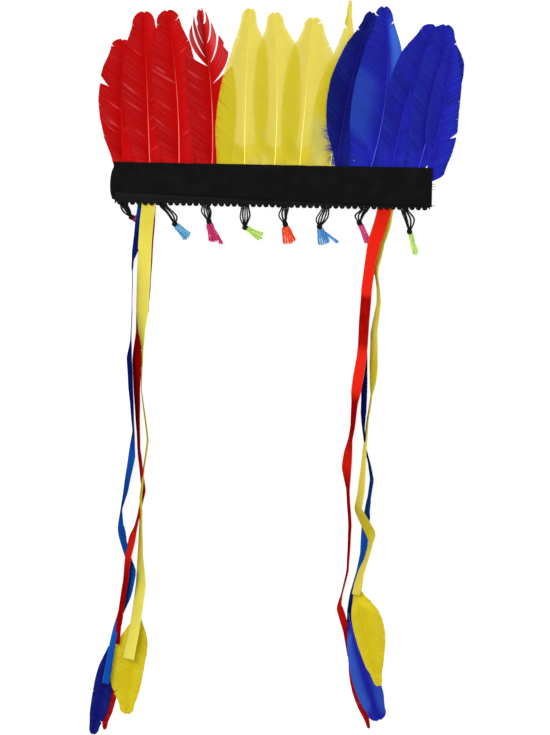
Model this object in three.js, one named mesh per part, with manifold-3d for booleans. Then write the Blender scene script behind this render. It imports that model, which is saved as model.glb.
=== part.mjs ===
// A feathered headdress, lying flat: an elastic head loop under a cloth cover band, dyed goose
// feathers that stand up from it, a scalloped braid with eight tassels along its lower edge, and two
// groups of three satin ribbons, each ribbon with a small feather at its end.
// Millimetres. The band runs along X, the feather tips point to +Y and +Z is up from the table.
// The origin is on the table, under the middle of the head loop.
import * as THREE from 'three';
import { mergeVertices } from 'three/addons/utils/BufferGeometryUtils.js';
import Module from 'manifold-3d';

const wasm = await Module();
wasm.setup();

// Clearance between two pieces that rest on each other
const gap = 0.3;

// Head loop: inside length all round, elastic wall, inside height as it lies, width of the elastic
const headRound = 580;
const loopWall = 1.2;
const loopRise = 6;
const loopWidth = 30;

// Cover band: length, wall, how far it stands above the middle of the loop, and how far it reaches
// below the middle at its left end, a third of the way along, and at its right end
const coverLength = 286;
const coverWall = 1.5;
const coverAbove = 18.4;
const coverBelowLeft = 7.7;
const coverBelowThird = 12.5;
const coverBelowRight = 17;
const coverShift = 2;

// Braid: length, wall, where its upper and lower edges lie below the middle of the loop, and the
// spacing and size of the scallops under it
const braidLength = 283;
const braidWall = 1.2;
const braidTop = 6;
const braidBottom = 17.6;
const scallopPitch = 5.7;
const scallopReach = 2;

// Crown feathers: length that shows above the band, half width, wall of the vane, quill, how much of
// the quill the band hides, and how far the rachis stands above the vane
const featherLength = 140;
const featherHalf = 22;
const vaneWall = 0.7;
const quillRound = 2.6;
const quillHidden = 22;
const rachisRise = 0.5;

// Lie of the crown feathers: sideways tilt in degrees that lets each left edge lie over its
// neighbour, droop of the vane's edge, height of a tip's middle line, and one step of extra height
const featherTilt = 5;
const featherCamber = 0.5;
const tipHeight = 1.7;
const overlapLift = 1.1;

// Barbs: how far an edge point lies beyond its root along the feather, in vane widths, and the share
// of the feather over which the barbs turn from square to that sweep
const barbSweep = 0.75;
const barbTurn = 0.16;

// Ribbons: width, wall, drop from the braid to the left yellow ribbon's cut end, and how far a ribbon
// on top runs up under the braid
const ribbonWidth = 12.7;
const ribbonWall = 1;
const ribbonDrop = 410;
const ribbonTuck = 9;

// Ribbon feathers: length, half width, quill, rise of the rachis, and quill hidden under the ribbon
const smallLength = 93;
const smallHalf = 12;
const smallQuill = 1.4;
const smallRise = 0.4;
const smallTuck = 8;

// Tassels: thread of the hanging loops, drop of the loops, how far the threads start behind the
// braid's lower edge, knot, shortest tuft, height of one lock at the neck, and number of locks
const threadRound = 1.1;
const loopDrop = 18;
const threadTuck = 5;
const knotRound = 4.2;
const tuftShortest = 9;
const lockRound = 2.6;
const lockCount = 5;

// Heights that follow from the sizes above
const loopTop = 2 * loopWall + loopRise;
const packBase = loopTop + gap;
const braidBase = packBase + ribbonWall + gap;
const quillHeight = packBase + quillRound / 2;
const coverBase = Math.max(packBase + quillRound, braidBase + braidWall) + gap;
const coverLeft = coverShift - coverLength / 2;

const red = 0xc40a0a;
const yellow = 0xd8ca34;
const blue = 0x20209c;
const black = 0x161616;
const satinRed = 0xd82418;
const satinYellow = 0xdfd545;
const satinBlue = 0x163a9c;

const headdress = new THREE.Group();

// Adds one named piece in one colour.
function addPiece(name, geometry, color, roughness = 0.7) {
  const material = new THREE.MeshStandardMaterial({ color, roughness, metalness: 0 });
  const mesh = new THREE.Mesh(geometry, material);
  mesh.name = name;
  headdress.add(mesh);
}

// Signed volume of a triangle soup with indices; it is negative when the faces point inwards.
function signedVolume(points, index) {
  let sum = 0;
  for (let i = 0; i < index.length; i += 3) {
    const [a, b, c] = [points[index[i]], points[index[i + 1]], points[index[i + 2]]];
    sum += a.dot(new THREE.Vector3().crossVectors(b, c));
  }
  return sum / 6;
}

// Skins rings with equal numbers of points into one closed solid with an end cap on each end ring.
// The first faces of a ring are the sheet's one side and the rest its other side and its rims. Their
// diagonals run the same way across the sheet, so that a thin twisted one doesn't cross itself.
function loft(rings, firstSide = rings[0].length) {
  const count = rings[0].length;
  const points = rings.flat();
  const index = [];
  for (let r = 0; r + 1 < rings.length; r += 1) {
    for (let k = 0; k < count; k += 1) {
      const a = r * count + k;
      const b = r * count + (k + 1) % count;
      if (k < firstSide) index.push(a, b, b + count, a, b + count, a + count);
      else index.push(a, b, a + count, b, b + count, a + count);
    }
  }
  const last = (rings.length - 1) * count;
  for (let k = 1; k + 1 < count; k += 1) {
    index.push(0, k + 1, k, last, last + k, last + k + 1);
  }
  if (signedVolume(points, index) < 0) index.reverse();
  const geometry = new THREE.BufferGeometry().setFromPoints(points);
  geometry.setIndex(index);
  return geometry;
}

// Turns a closed geometry into a solid that can be joined and cut.
function solidOf(geometry) {
  const bare = geometry.clone();
  bare.deleteAttribute('normal');
  bare.deleteAttribute('uv');
  const merged = mergeVertices(bare, 1e-4);
  return new wasm.Manifold(new wasm.Mesh({
    numProp: 3,
    vertProperties: new Float32Array(merged.attributes.position.array),
    triVerts: new Uint32Array(merged.index.array),
  }));
}

function geometryOf(solid) {
  const mesh = solid.getMesh();
  const geometry = new THREE.BufferGeometry();
  geometry.setAttribute('position', new THREE.BufferAttribute(new Float32Array(mesh.vertProperties), 3));
  geometry.setIndex(new THREE.BufferAttribute(new Uint32Array(mesh.triVerts), 1));
  return geometry;
}

function joined(geometries) {
  return geometryOf(geometries.map(solidOf).reduce((whole, next) => whole.add(next)));
}

const smooth = (from, to, value) => THREE.MathUtils.smoothstep(value, from, to);

// A five-sided tube along a curve.
function strand(curve, round, steps) {
  const sides = 5;
  const radius = round / 2;
  const rings = [];
  for (let s = 0; s <= steps; s += 1) {
    const at = s / steps;
    const centre = curve.getPoint(at);
    const along = curve.getTangent(at);
    const side = new THREE.Vector3().crossVectors(along, new THREE.Vector3(0, 0, 1)).normalize();
    const over = new THREE.Vector3().crossVectors(side, along);
    rings.push(Array.from({ length: sides }, (_, k) => {
      const turn = (2 * Math.PI * k) / sides;
      return centre.clone()
        .addScaledVector(side, radius * Math.cos(turn))
        .addScaledVector(over, radius * Math.sin(turn));
    }));
  }
  return loft(rings);
}

// Head loop

// Rounded outline of the loop's cross section, seen along Y, at a distance out from its inner face.
function loopOutline(path, out) {
  const straight = (headRound - Math.PI * loopRise) / 4;
  const radius = loopRise / 2 + out;
  const middle = loopTop / 2;
  path.moveTo(-straight, middle - radius);
  path.lineTo(straight, middle - radius);
  path.absarc(straight, middle, radius, -Math.PI / 2, Math.PI / 2, false);
  path.lineTo(-straight, middle + radius);
  path.absarc(-straight, middle, radius, Math.PI / 2, 1.5 * Math.PI, false);
  return path;
}

function headLoop() {
  const outline = loopOutline(new THREE.Shape(), loopWall);
  outline.holes.push(loopOutline(new THREE.Path(), 0));
  const settings = { depth: loopWidth, bevelEnabled: false, curveSegments: 5 };
  const ring = new THREE.ExtrudeGeometry(outline, settings);
  return ring.rotateX(Math.PI / 2).translate(0, loopWidth / 2, 0);
}

addPiece('head_loop', headLoop(), black, 0.9);

// Cover band and braid

// A flat piece of cloth cut to an outline, with its lower face at a height.
function flatPiece(outline, wall, base) {
  const settings = { depth: wall, bevelEnabled: false, curveSegments: 8 };
  return new THREE.ExtrudeGeometry(outline, settings).translate(0, 0, base);
}

function coverOutline() {
  const right = coverLeft + coverLength;
  const outline = new THREE.Shape();
  outline.moveTo(coverLeft, coverAbove);
  outline.lineTo(coverLeft, -coverBelowLeft);
  outline.quadraticCurveTo(coverLeft + coverLength / 3, -coverBelowThird, right, -coverBelowRight);
  outline.lineTo(right, coverAbove);
  return outline;
}

// The braid's outline: a straight upper edge and a row of half-round scallops under the lower edge,
// each made of three straight edges.
function braidOutline() {
  const left = coverShift - braidLength / 2;
  const count = Math.floor(braidLength / scallopPitch);
  const margin = (braidLength - count * scallopPitch) / 2;
  const half = 0.37 * scallopPitch;
  const edges = 3;
  const outline = new THREE.Shape();
  outline.moveTo(left, -braidTop);
  outline.lineTo(left, -braidBottom);
  for (let k = 0; k < count; k += 1) {
    const middle = left + margin + (k + 0.5) * scallopPitch;
    for (let step = 0; step <= edges; step += 1) {
      const turn = Math.PI * (1 + step / edges);
      outline.lineTo(middle + half * Math.cos(turn), -braidBottom + scallopReach * Math.sin(turn));
    }
  }
  outline.lineTo(left + braidLength, -braidBottom);
  outline.lineTo(left + braidLength, -braidTop);
  return outline;
}

addPiece('cover_band', flatPiece(coverOutline(), coverWall, coverBase), black, 0.85);
addPiece('tassel_braid', flatPiece(braidOutline(), braidWall, braidBase), black, 0.8);

// Feathers

// Half width of one vane at a share of the feather's length: smooth through the widths given at
// five shares of the length, then rounded off to nothing at the tip.
const widthAt = [0, 0.25, 0.5, 0.75, 0.92];
function vaneWidth(widths, half, start, v) {
  if (v < 0) return half * widths[0] * Math.sqrt(Math.max(0, 1 - (v / start) ** 2));
  const last = widthAt.length - 1;
  if (v >= widthAt[last]) {
    const beyond = (v - widthAt[last]) / (1 - widthAt[last]);
    return half * widths[last] * Math.sqrt(Math.max(0, 1 - beyond * beyond));
  }
  let k = 0;
  while (v > widthAt[k + 1]) k += 1;
  const part = (v - widthAt[k]) / (widthAt[k + 1] - widthAt[k]);
  const before = widths[Math.max(0, k - 1)];
  const after = widths[Math.min(last, k + 2)];
  const rise = (widths[k + 1] - before) / 2;
  const fall = (after - widths[k]) / 2;
  const p2 = part * part;
  const p3 = p2 * part;
  return half * ((2 * p3 - 3 * p2 + 1) * widths[k] + (p3 - 2 * p2 + part) * rise
    + (3 * p2 - 2 * p3) * widths[k + 1] + (p3 - p2) * fall);
}

// The plan line of a feather's rachis: a point, and the direction along it, at a share of its length.
// Below share 0 it runs on straight, where the quill is hidden.
function rachisLine(spec) {
  const chord = spec.tip.clone().sub(spec.root);
  const length = chord.length();
  const side = new THREE.Vector2(chord.y, -chord.x).normalize();
  const halfway = spec.root.clone().add(spec.tip).multiplyScalar(0.5);
  const pull = halfway.addScaledVector(side, 2 * spec.bow * length);
  const curve = new THREE.QuadraticBezierCurve(spec.root, pull, spec.tip);
  const first = pull.clone().sub(spec.root).normalize();
  const hidden = (v) => spec.root.clone().addScaledVector(first, v * length);
  return {
    length,
    point: (v) => (v < 0 ? hidden(v) : curve.getPoint(Math.min(v, 1))),
    along: (v) => (v < 0 ? first.clone() : curve.getTangent(Math.min(v, 1))),
  };
}

// Where a barb that leaves the rachis at share u meets the edge of its vane: the share of the edge
// point, found by halving, because the width there depends on the share.
function edgeShare(widths, spec, length, u) {
  const sweep = barbSweep * smooth(spec.start, spec.start + barbTurn, u);
  const halvings = 24;
  let low = u;
  let high = 1;
  for (let step = 0; step < halvings; step += 1) {
    const middle = (low + high) / 2;
    const reach = (sweep * vaneWidth(widths, spec.half, spec.start, middle)) / length;
    if (middle < u + reach) low = middle;
    else high = middle;
  }
  return (low + high) / 2;
}

// Height of a feather's middle line at a share of its length. fall is the feather's length as a
// share of the length over which the height drops from the root to the table. The lift comes in
// over the first liftTurn of the length.
const dropPower = 1.3;
const liftTurn = 0.15;
function rachisHeight(spec, v) {
  const drop = (spec.rootHeight - spec.tipHeight) * (Math.max(0, v) * spec.fall) ** dropPower;
  return spec.rootHeight - drop + spec.lift * smooth(0, liftTurn, v);
}

// Edge point of a vane in plan, its side distance and its share, for a barb root share. Near the
// base the edge lies square to the band, further up square to the rachis.
const squareTurn = 0.12;
function edgePoint(spec, line, side, u) {
  const widths = side > 0 ? spec.right : spec.left;
  const v = edgeShare(widths, spec, line.length, u);
  const width = vaneWidth(widths, spec.half, spec.start, v);
  const along = line.along(v);
  const square = new THREE.Vector2(Math.sign(along.y), 0);
  const turned = smooth(spec.start, spec.start + squareTurn, v);
  const out = square.lerp(new THREE.Vector2(along.y, -along.x), turned);
  return { width, v, plan: line.point(v).addScaledVector(out.normalize(), side * width) };
}

// One section of the vanes: it follows the barbs from the left edge to the rachis to the right edge.
// The rachis thins towards the tip, the vane thins towards its edges, and an edge never lies nearer
// than leastEdge half rachis widths.
const rachisThins = 0.75;
const edgeThins = 0.8;
const leastEdge = 1.2;
function vaneRing(spec, line, u) {
  const centre = line.point(u);
  const along = line.along(u);
  const side = new THREE.Vector2(along.y, -along.x);
  const height = rachisHeight(spec, u);
  const taper = 1 - rachisThins * Math.max(0, u);
  const shaft = (spec.quill / 2) * taper;
  const wall = spec.wall / 2;
  const thin = edgeThins * wall;
  const least = leastEdge * shaft;
  const tilt = Math.tan(THREE.MathUtils.degToRad(spec.tilt));
  const at = (plan, z) => new THREE.Vector3(plan.x, plan.y, z);
  const edge = (sign) => {
    const found = edgePoint(spec, line, sign, u);
    const narrow = centre.clone().addScaledVector(side, sign * least);
    const plan = found.width > least ? found.plan : narrow;
    const droop = spec.camber * (found.width / spec.half) ** 2;
    return { plan, z: rachisHeight(spec, found.v) - sign * tilt * found.width - droop };
  };
  const left = edge(-1);
  const right = edge(1);
  const beside = (sign) => centre.clone().addScaledVector(side, sign * shaft);
  return [
    at(left.plan, left.z + thin),
    at(beside(-1), height + wall),
    at(centre, height + wall + spec.rise * taper),
    at(beside(1), height + wall),
    at(right.plan, right.z + thin),
    at(right.plan, right.z - thin),
    at(centre, height - wall),
    at(left.plan, left.z - thin),
  ];
}

// One round section of the bare quill.
function quillRing(spec, line, v, round) {
  const centre = line.point(v);
  const along = line.along(v);
  const side = new THREE.Vector2(along.y, -along.x);
  const height = rachisHeight(spec, v);
  return Array.from({ length: 8 }, (_, k) => {
    const turn = Math.PI - (k * Math.PI) / 4;
    const plan = centre.clone().addScaledVector(side, (round / 2) * Math.cos(turn));
    return new THREE.Vector3(plan.x, plan.y, height + (round / 2) * Math.sin(turn));
  });
}

// The wedge of air where barbs have parted: it opens beyond the edge, narrows along the barb and is
// taller than the feathers stand.
const wedgeReach = 1.6;
const wedgeTall = 40;
function splitWedge(spec, line, split) {
  const sign = split.side === 'right' ? 1 : -1;
  const widths = sign > 0 ? spec.right : spec.left;
  const width = vaneWidth(widths, spec.half, spec.start, split.at);
  const along = line.along(split.at);
  const out = new THREE.Vector2(along.y, -along.x).multiplyScalar(sign);
  const edge = line.point(split.at).addScaledVector(out, width);
  const root = line.point(split.at - (barbSweep * width) / line.length);
  const inner = edge.clone().lerp(root, split.deep);
  const reach = edge.clone().sub(inner);
  const outer = inner.clone().addScaledVector(reach, wedgeReach);
  const across = new THREE.Vector2(-reach.y, reach.x).setLength(wedgeReach * split.open * spec.half / 2);
  const outline = new THREE.Shape([inner, outer.clone().add(across), outer.clone().sub(across)]);
  const settings = { depth: wedgeTall, bevelEnabled: false };
  return new THREE.ExtrudeGeometry(outline, settings).translate(0, 0, -wedgeTall / 2);
}

// Shares of the vane's length at which its sections lie, the quill's last bare section just before
// it, and the quill's size at its hidden end.
const vaneShares = [0, 0.07, 0.16, 0.27, 0.39, 0.51, 0.62, 0.72, 0.81, 0.88, 0.94, 0.985];
const quillStop = 1.5;
const quillEnd = 0.8;
function featherSolid(spec) {
  const line = rachisLine(spec);
  const rings = [
    quillRing(spec, line, -spec.tuck / line.length, spec.quill * quillEnd),
    quillRing(spec, line, spec.start - quillStop / line.length, spec.quill),
  ];
  for (const share of vaneShares) rings.push(vaneRing(spec, line, spec.start + share * (1 - spec.start)));
  const whole = loft(rings, 4);
  if (!spec.splits.length) return whole;
  const wedges = spec.splits.map((split) => solidOf(splitWedge(spec, line, split)));
  return geometryOf(wedges.reduce((rest, wedge) => rest.subtract(wedge), solidOf(whole)));
}

// Crown feathers from left to right. root is a share of the cover's length, rise, lean and bow are
// shares of the feather length: how far it stands up, how far the tip leans right and how far the
// middle bows right. left and right give the vane widths as shares of the half width at the shares
// in widthAt. lift counts the overlap lifts. start is where the vane begins, below the band's edge.
const splitOf = (side, at, deep, open) => ({ side, at, deep, open });
const crown = [
  { name: 'feather_red_1', color: red, root: 0.03, rise: 0.79, lean: -0.02, bow: -0.01, lift: 0,
    left: [0.44, 0.8, 0.95, 0.8, 0.48], right: [0.6, 0.85, 0.9, 0.7, 0.4],
    splits: [splitOf('left', 0.67, 0.36, 0.22), splitOf('left', 0.95, 0.25, 0.1)] },
  { name: 'feather_red_2', color: red, root: 0.113, rise: 0.974, lean: -0.056, bow: 0, lift: 0,
    left: [0.65, 0.9, 1, 0.86, 0.5], right: [0.65, 0.9, 0.9, 0.75, 0.42], splits: [] },
  { name: 'feather_red_3', color: red, root: 0.205, rise: 0.985, lean: -0.098, bow: 0.022, lift: 0,
    left: [0.7, 0.95, 1, 0.88, 0.5], right: [0.7, 0.9, 0.9, 0.75, 0.45],
    splits: [splitOf('right', 0.945, 0.75, 0.1)] },
  { name: 'feather_red_4', color: red, root: 0.309, rise: 0.996, lean: -0.099, bow: 0.03, lift: 0,
    left: [0.7, 0.9, 0.95, 0.85, 0.35], right: [0.78, 0.95, 1, 0.86, 0.4],
    splits: [splitOf('left', 0.8, 0.88, 0.34), splitOf('left', 0.9, 0.85, 0.16),
      splitOf('right', 0.8, 0.8, 0.12), splitOf('right', 0.9, 0.8, 0.1)] },
  { name: 'feather_yellow_1', color: yellow, root: 0.411, rise: 1.01, lean: 0.019, bow: -0.01, lift: 0,
    left: [1.14, 1.2, 1.02, 0.62, 0.36], right: [0.7, 0.9, 0.92, 0.75, 0.27], splits: [] },
  { name: 'feather_yellow_2', color: yellow, root: 0.505, rise: 0.987, lean: -0.018, bow: 0.017, lift: 0,
    left: [0.7, 0.9, 0.95, 0.78, 0.38], right: [0.7, 0.9, 0.95, 0.86, 0.36], splits: [] },
  { name: 'feather_yellow_3', color: yellow, root: 0.584, rise: 0.957, lean: 0.067, bow: 0, lift: 0,
    left: [0.7, 0.9, 0.95, 0.78, 0.36], right: [0.75, 0.95, 1.05, 1, 0.5],
    splits: [splitOf('right', 0.975, 0.5, 0.14)] },
  { name: 'feather_yellow_4', color: yellow, root: 0.679, rise: 1.08, lean: 0.109, bow: 0.01, lift: -0.3,
    left: [0.8, 1, 0.9, 0.42, 0.14], right: [0.14, 0.6, 0.8, 0.55, 0.22],
    splits: [splitOf('left', 0.84, 0.8, 0.16)] },
  { name: 'feather_blue_1', color: blue, root: 0.701, rise: 1, lean: 0.209, bow: -0.03, lift: 1,
    left: [0.08, 0.66, 0.85, 0.62, 0.26], right: [0.6, 0.8, 0.8, 0.6, 0.3],
    splits: [splitOf('left', 0.87, 0.3, 0.14)] },
  { name: 'feather_blue_2', color: blue, root: 0.808, rise: 1.036, lean: 0.064, bow: 0.055, lift: 1,
    left: [0.95, 1.3, 1.3, 0.92, 0.42], right: [0.6, 0.7, 0.72, 0.55, 0.3],
    splits: [splitOf('left', 0.955, 0.45, 0.14), splitOf('right', 0.9, 0.5, 0.16)] },
  { name: 'feather_blue_3', color: blue, root: 0.874, rise: 0.918, lean: 0.264, bow: -0.035, lift: 1,
    left: [0.72, 0.7, 0.9, 0.85, 0.52], right: [0.6, 0.8, 0.9, 0.8, 0.4],
    splits: [splitOf('right', 0.96, 0.6, 0.12)] },
  { name: 'feather_blue_4', color: blue, root: 0.958, rise: 0.925, lean: 0.157, bow: 0.025, lift: 1,
    left: [0.6, 0.8, 0.95, 0.8, 0.5], right: [0.25, 0.9, 0.9, 0.92, 0.4],
    splits: [splitOf('right', 0.88, 0.4, 0.12)] },
  { name: 'feather_blue_5', color: blue, root: 0.99, rise: 0.797, lean: 0.136, bow: 0.02, lift: 2,
    start: -0.12, left: [0.08, 0.5, 0.6, 0.5, 0.3], right: [0.66, 0.78, 0.66, 0.55, 0.3],
    splits: [splitOf('right', 0.3, 0.35, 0.12)] },
];

// The height drop runs over this many feather lengths, because one feather is longer than the rest.
const dropLengths = 1.08;

for (const row of crown) {
  const root = new THREE.Vector2(coverLeft + row.root * coverLength, coverAbove + gap);
  const tip = root.clone().add(new THREE.Vector2(row.lean * featherLength, row.rise * featherLength));
  addPiece(row.name, featherSolid({
    ...row, root, tip,
    start: row.start ?? 0, half: featherHalf, quill: quillRound, wall: vaneWall, rise: rachisRise,
    tuck: quillHidden, tilt: featherTilt, camber: featherCamber, lift: row.lift * overlapLift,
    rootHeight: quillHeight, tipHeight, fall: tip.distanceTo(root) / (dropLengths * featherLength),
  }), row.color, 0.6);
}

// Ribbons

// Each row is a fold or bend of a ribbon. down is a share of the ribbon drop below the braid, side is
// in ribbon widths from the group's fastening, turn is how far the ribbon is rolled about its length
// in degrees, rise is how far its lowest edge is above the table in ribbon walls, and wide is the
// share of the width that shows where it is creased lengthwise.
const bend = (down, side, turn, rise, wide = 1) => ({ down, side, turn, rise, wide });
const groups = { left: coverLeft + 0.111 * coverLength, right: coverLeft + 0.85 * coverLength };
const ribbons = [
  { name: 'left_yellow', group: 'left', color: satinYellow, tuck: true, bends: [
    bend(0.012, 0, 0, 8.7), bend(0.04, -0.1, 6, 7.5), bend(0.09, -0.2, 12, 4.9),
    bend(0.13, -0.23, 12, 3.2), bend(0.235, -0.3, 28, 3), bend(0.28, -0.32, 58, 1.6),
    bend(0.317, -0.2, 80, 1.5), bend(0.36, -0.18, 86, 0.2), bend(0.41, -0.2, 88, 0.2),
    bend(0.46, 0, 80, 0.2), bend(0.52, 0.26, 76, 0.2), bend(0.575, 0.06, 84, 1.6),
    bend(0.64, -0.14, 78, 1.6), bend(0.7, -0.1, 76, 1.6), bend(0.77, -0.1, 66, 0.2),
    bend(0.837, -0.06, 34, 1.6), bend(0.875, -0.18, 30, 5), bend(0.91, -0.3, 30, 5),
    bend(0.95, -0.5, 30, 5), bend(1, -0.8, 22, 4.8)] },
  { name: 'left_red', group: 'left', color: satinRed, bends: [
    bend(0, 0.02, 0, 7.2), bend(0.04, 0, 0, 6), bend(0.09, -0.12, 0, 3.4),
    bend(0.13, -0.16, 0, 1.6), bend(0.235, -0.3, 0, 1.5, 0.9), bend(0.285, -0.5, 0, 0.2, 0.5),
    bend(0.322, -0.68, 4, 0.2, 0.5), bend(0.36, -0.68, 56, 0.2, 0.9), bend(0.42, -0.6, 64, 0.2),
    bend(0.5, -0.42, 74, 0.2), bend(0.54, -0.36, 60, 0.2, 0.7), bend(0.568, -0.3, 2, 0.2, 0.5),
    bend(0.64, -0.14, 0, 0.2, 0.5), bend(0.685, -0.44, 2, 0.2, 0.5),
    bend(0.708, -0.64, 8, 0.2, 0.5), bend(0.735, -0.72, 60, 1.6), bend(0.775, -0.96, 66, 1.6),
    bend(0.82, -1.04, 66, 1.2), bend(0.87, -1.28, 68, 1.5), bend(0.9, -1.42, 66, 1.6),
    bend(0.925, -1.52, 0, 1.8, 0.5), bend(0.965, -1.62, 0, 1.8, 0.5)] },
  { name: 'left_blue', group: 'left', color: satinBlue, bends: [
    bend(0, -0.25, 0, 5.7), bend(0.04, -0.36, 0, 4.5), bend(0.09, -0.6, 0, 1.9, 0.8),
    bend(0.105, -0.78, 0, 0.6, 0.5), bend(0.125, -0.98, 10, 0.2, 0.5), bend(0.15, -1.02, 76, 0.2),
    bend(0.24, -1, 86, 0.2), bend(0.34, -1.22, 74, 0.2), bend(0.4, -1.06, 76, 0.2),
    bend(0.5, -0.78, 84, 0.2), bend(0.555, -0.84, 60, 0.2), bend(0.63, -1.22, 72, 0.2),
    bend(0.67, -1.5, 80, 0.2), bend(0.71, -1.46, 66, 0.2), bend(0.742, -1.34, 20, 0.2, 0.5),
    bend(0.757, -1.2, 0, 0.2, 0.4), bend(0.78, -0.96, 0, 0.2, 0.4), bend(0.82, -0.56, 66, 0.2),
    bend(0.855, -0.82, 72, 0.2), bend(0.885, -1.1, 0, 0.2, 0.4), bend(0.912, -1.74, 0, 0.2, 0.4),
    bend(0.93, -2.04, 0, 0.3, 0.4), bend(0.95, -2.1, 32, 3.7, 0.6),
    bend(0.99, -2.12, 40, 3.7, 0.8), bend(1.055, -2.36, 36, 3.7, 0.8)] },
  { name: 'right_red', group: 'right', color: satinRed, tuck: true, bends: [
    bend(0.012, 0, 0, 8.7), bend(0.045, -0.3, 10, 7.8), bend(0.08, -0.66, 24, 6.4),
    bend(0.12, -0.88, 40, 3.2), bend(0.18, -1.1, 40, 2.9), bend(0.25, -1.24, 44, 2.9),
    bend(0.31, -1.31, 48, 2.9), bend(0.37, -1.56, 40, 2.9), bend(0.42, -1.78, 58, 1.4),
    bend(0.48, -1.9, 72, 0.2), bend(0.525, -2.12, 60, 0.2), bend(0.57, -2.28, 40, 0.2),
    bend(0.62, -2.16, 74, 0.2), bend(0.7, -1.96, 78, 0.2), bend(0.795, -2.06, 84, 0.2),
    bend(0.85, -2.44, 84, 0.2), bend(0.874, -2.6, 76, 0.2, 0.8), bend(0.9, -2.3, 20, 0.2, 0.5),
    bend(0.93, -2.06, 0, 0.2, 0.5), bend(0.955, -1.96, 0, 0.2, 0.5)] },
  { name: 'right_yellow', group: 'right', color: satinYellow, bends: [
    bend(0, 0.22, 0, 7.2), bend(0.04, 0.02, 0, 6.2), bend(0.08, -0.36, 0, 4.7, 0.9),
    bend(0.12, -0.5, 0, 1.8, 0.8), bend(0.15, -0.38, 30, 1.8, 0.8), bend(0.18, -0.28, 70, 0.2),
    bend(0.225, -0.26, 80, 0.2), bend(0.26, -0.48, 66, 0.2), bend(0.35, -0.5, 62, 0.2),
    bend(0.41, -0.58, 78, 0.2), bend(0.465, -0.84, 82, 0.2), bend(0.487, -0.88, 80, 1.6),
    bend(0.52, -0.98, 76, 1.6), bend(0.57, -1.1, 70, 0.8), bend(0.625, -1.24, 62, 0.2),
    bend(0.655, -1.4, 66, 0.2), bend(0.69, -0.9, 60, 1.6), bend(0.714, -0.4, 54, 1.6),
    bend(0.74, -0.36, 66, 1.6), bend(0.775, -0.82, 72, 1.6), bend(0.805, -1.16, 60, 6, 0.8),
    bend(0.85, -1.44, 10, 6.2, 0.6)] },
  { name: 'right_blue', group: 'right', color: satinBlue, bends: [
    bend(0, -0.1, 0, 5.8), bend(0.04, -0.34, 0, 4.8), bend(0.08, -0.7, 0, 3.3),
    bend(0.12, -0.96, 0, 0.4, 0.9), bend(0.18, -1.14, 0, 0.2, 0.7), bend(0.3, -1.2, 0, 0.2, 0.6),
    bend(0.37, -1.14, 30, 0.2, 0.6), bend(0.41, -1.12, 60, 0.2, 0.8), bend(0.45, -1.18, 74, 0.2),
    bend(0.49, -1.28, 10, 0.2, 0.4), bend(0.53, -0.96, 0, 0.2, 0.4),
    bend(0.558, -0.64, 50, 0.2, 0.6), bend(0.59, -0.44, 76, 0.2), bend(0.635, -0.66, 76, 0.2),
    bend(0.67, -0.84, 30, 0.2, 0.6), bend(0.69, -0.84, 0, 0.2, 0.4),
    bend(0.73, -0.84, 0, 0.2, 0.4), bend(0.76, -0.92, 0, 0.2, 0.45), bend(0.8, -1.2, 0, 0.2, 0.5),
    bend(0.85, -1.64, 20, 0.2, 0.5), bend(0.885, -1.86, 0, 0.6, 0.5)] },
];

// Smooth value of one column of the bends at a place counted in rows.
function alongRows(rows, column, place) {
  const k = Math.min(Math.floor(place), rows.length - 2);
  const part = place - k;
  const row = (n) => rows[THREE.MathUtils.clamp(n, 0, rows.length - 1)][column];
  const [a, b, c, d] = [row(k - 1), row(k), row(k + 1), row(k + 2)];
  const m = (c - a) / 2;
  const n = (d - b) / 2;
  const p2 = part * part;
  const p3 = p2 * part;
  return (2 * p3 - 3 * p2 + 1) * b + (p3 - 2 * p2 + part) * m + (3 * p2 - 2 * p3) * c + (p3 - p2) * n;
}

// Middle, turn and width of a ribbon at a place counted in rows of its table.
function ribbonStation(spec, place) {
  const value = (column) => alongRows(spec.bends, column, place);
  const straight = (column) => {
    const k = Math.min(Math.floor(place), spec.bends.length - 2);
    return THREE.MathUtils.lerp(spec.bends[k][column], spec.bends[k + 1][column], place - k);
  };
  const turn = THREE.MathUtils.degToRad(THREE.MathUtils.clamp(value('turn'), 0, 90));
  const width = ribbonWidth * straight('wide');
  const tall = (width * Math.sin(turn) + ribbonWall * Math.cos(turn)) / 2;
  const middle = new THREE.Vector3(
    groups[spec.group] + value('side') * ribbonWidth,
    -braidBottom - value('down') * ribbonDrop,
    straight('rise') * ribbonWall + tall,
  );
  return { middle, turn, width };
}

function ribbonSolid(spec) {
  const perRow = 2;
  const stations = [];
  for (let s = 0; s <= (spec.bends.length - 1) * perRow; s += 1) {
    stations.push(ribbonStation(spec, s / perRow));
  }
  if (spec.tuck) {
    const first = stations[0];
    const middle = first.middle.clone().setY(-braidBottom + ribbonTuck);
    stations.unshift({ ...first, middle });
  }
  const rings = stations.map((station, s) => {
    const before = stations[Math.max(0, s - 1)].middle;
    const after = stations[Math.min(stations.length - 1, s + 1)].middle;
    const along = after.clone().sub(before).setZ(0).normalize();
    const across = new THREE.Vector3(-along.y, along.x, 0).multiplyScalar(Math.cos(station.turn));
    across.z = Math.sin(station.turn);
    const through = new THREE.Vector3().crossVectors(along, across);
    const corner = (a, b) => station.middle.clone()
      .addScaledVector(across, (a * station.width) / 2)
      .addScaledVector(through, (b * ribbonWall) / 2);
    return [corner(-1, -1), corner(1, -1), corner(1, 1), corner(-1, 1)];
  });
  return loft(rings, 1);
}

for (const spec of ribbons) addPiece(`ribbon_${spec.name}`, ribbonSolid(spec), spec.color, 0.4);

// Ribbon feathers

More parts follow.
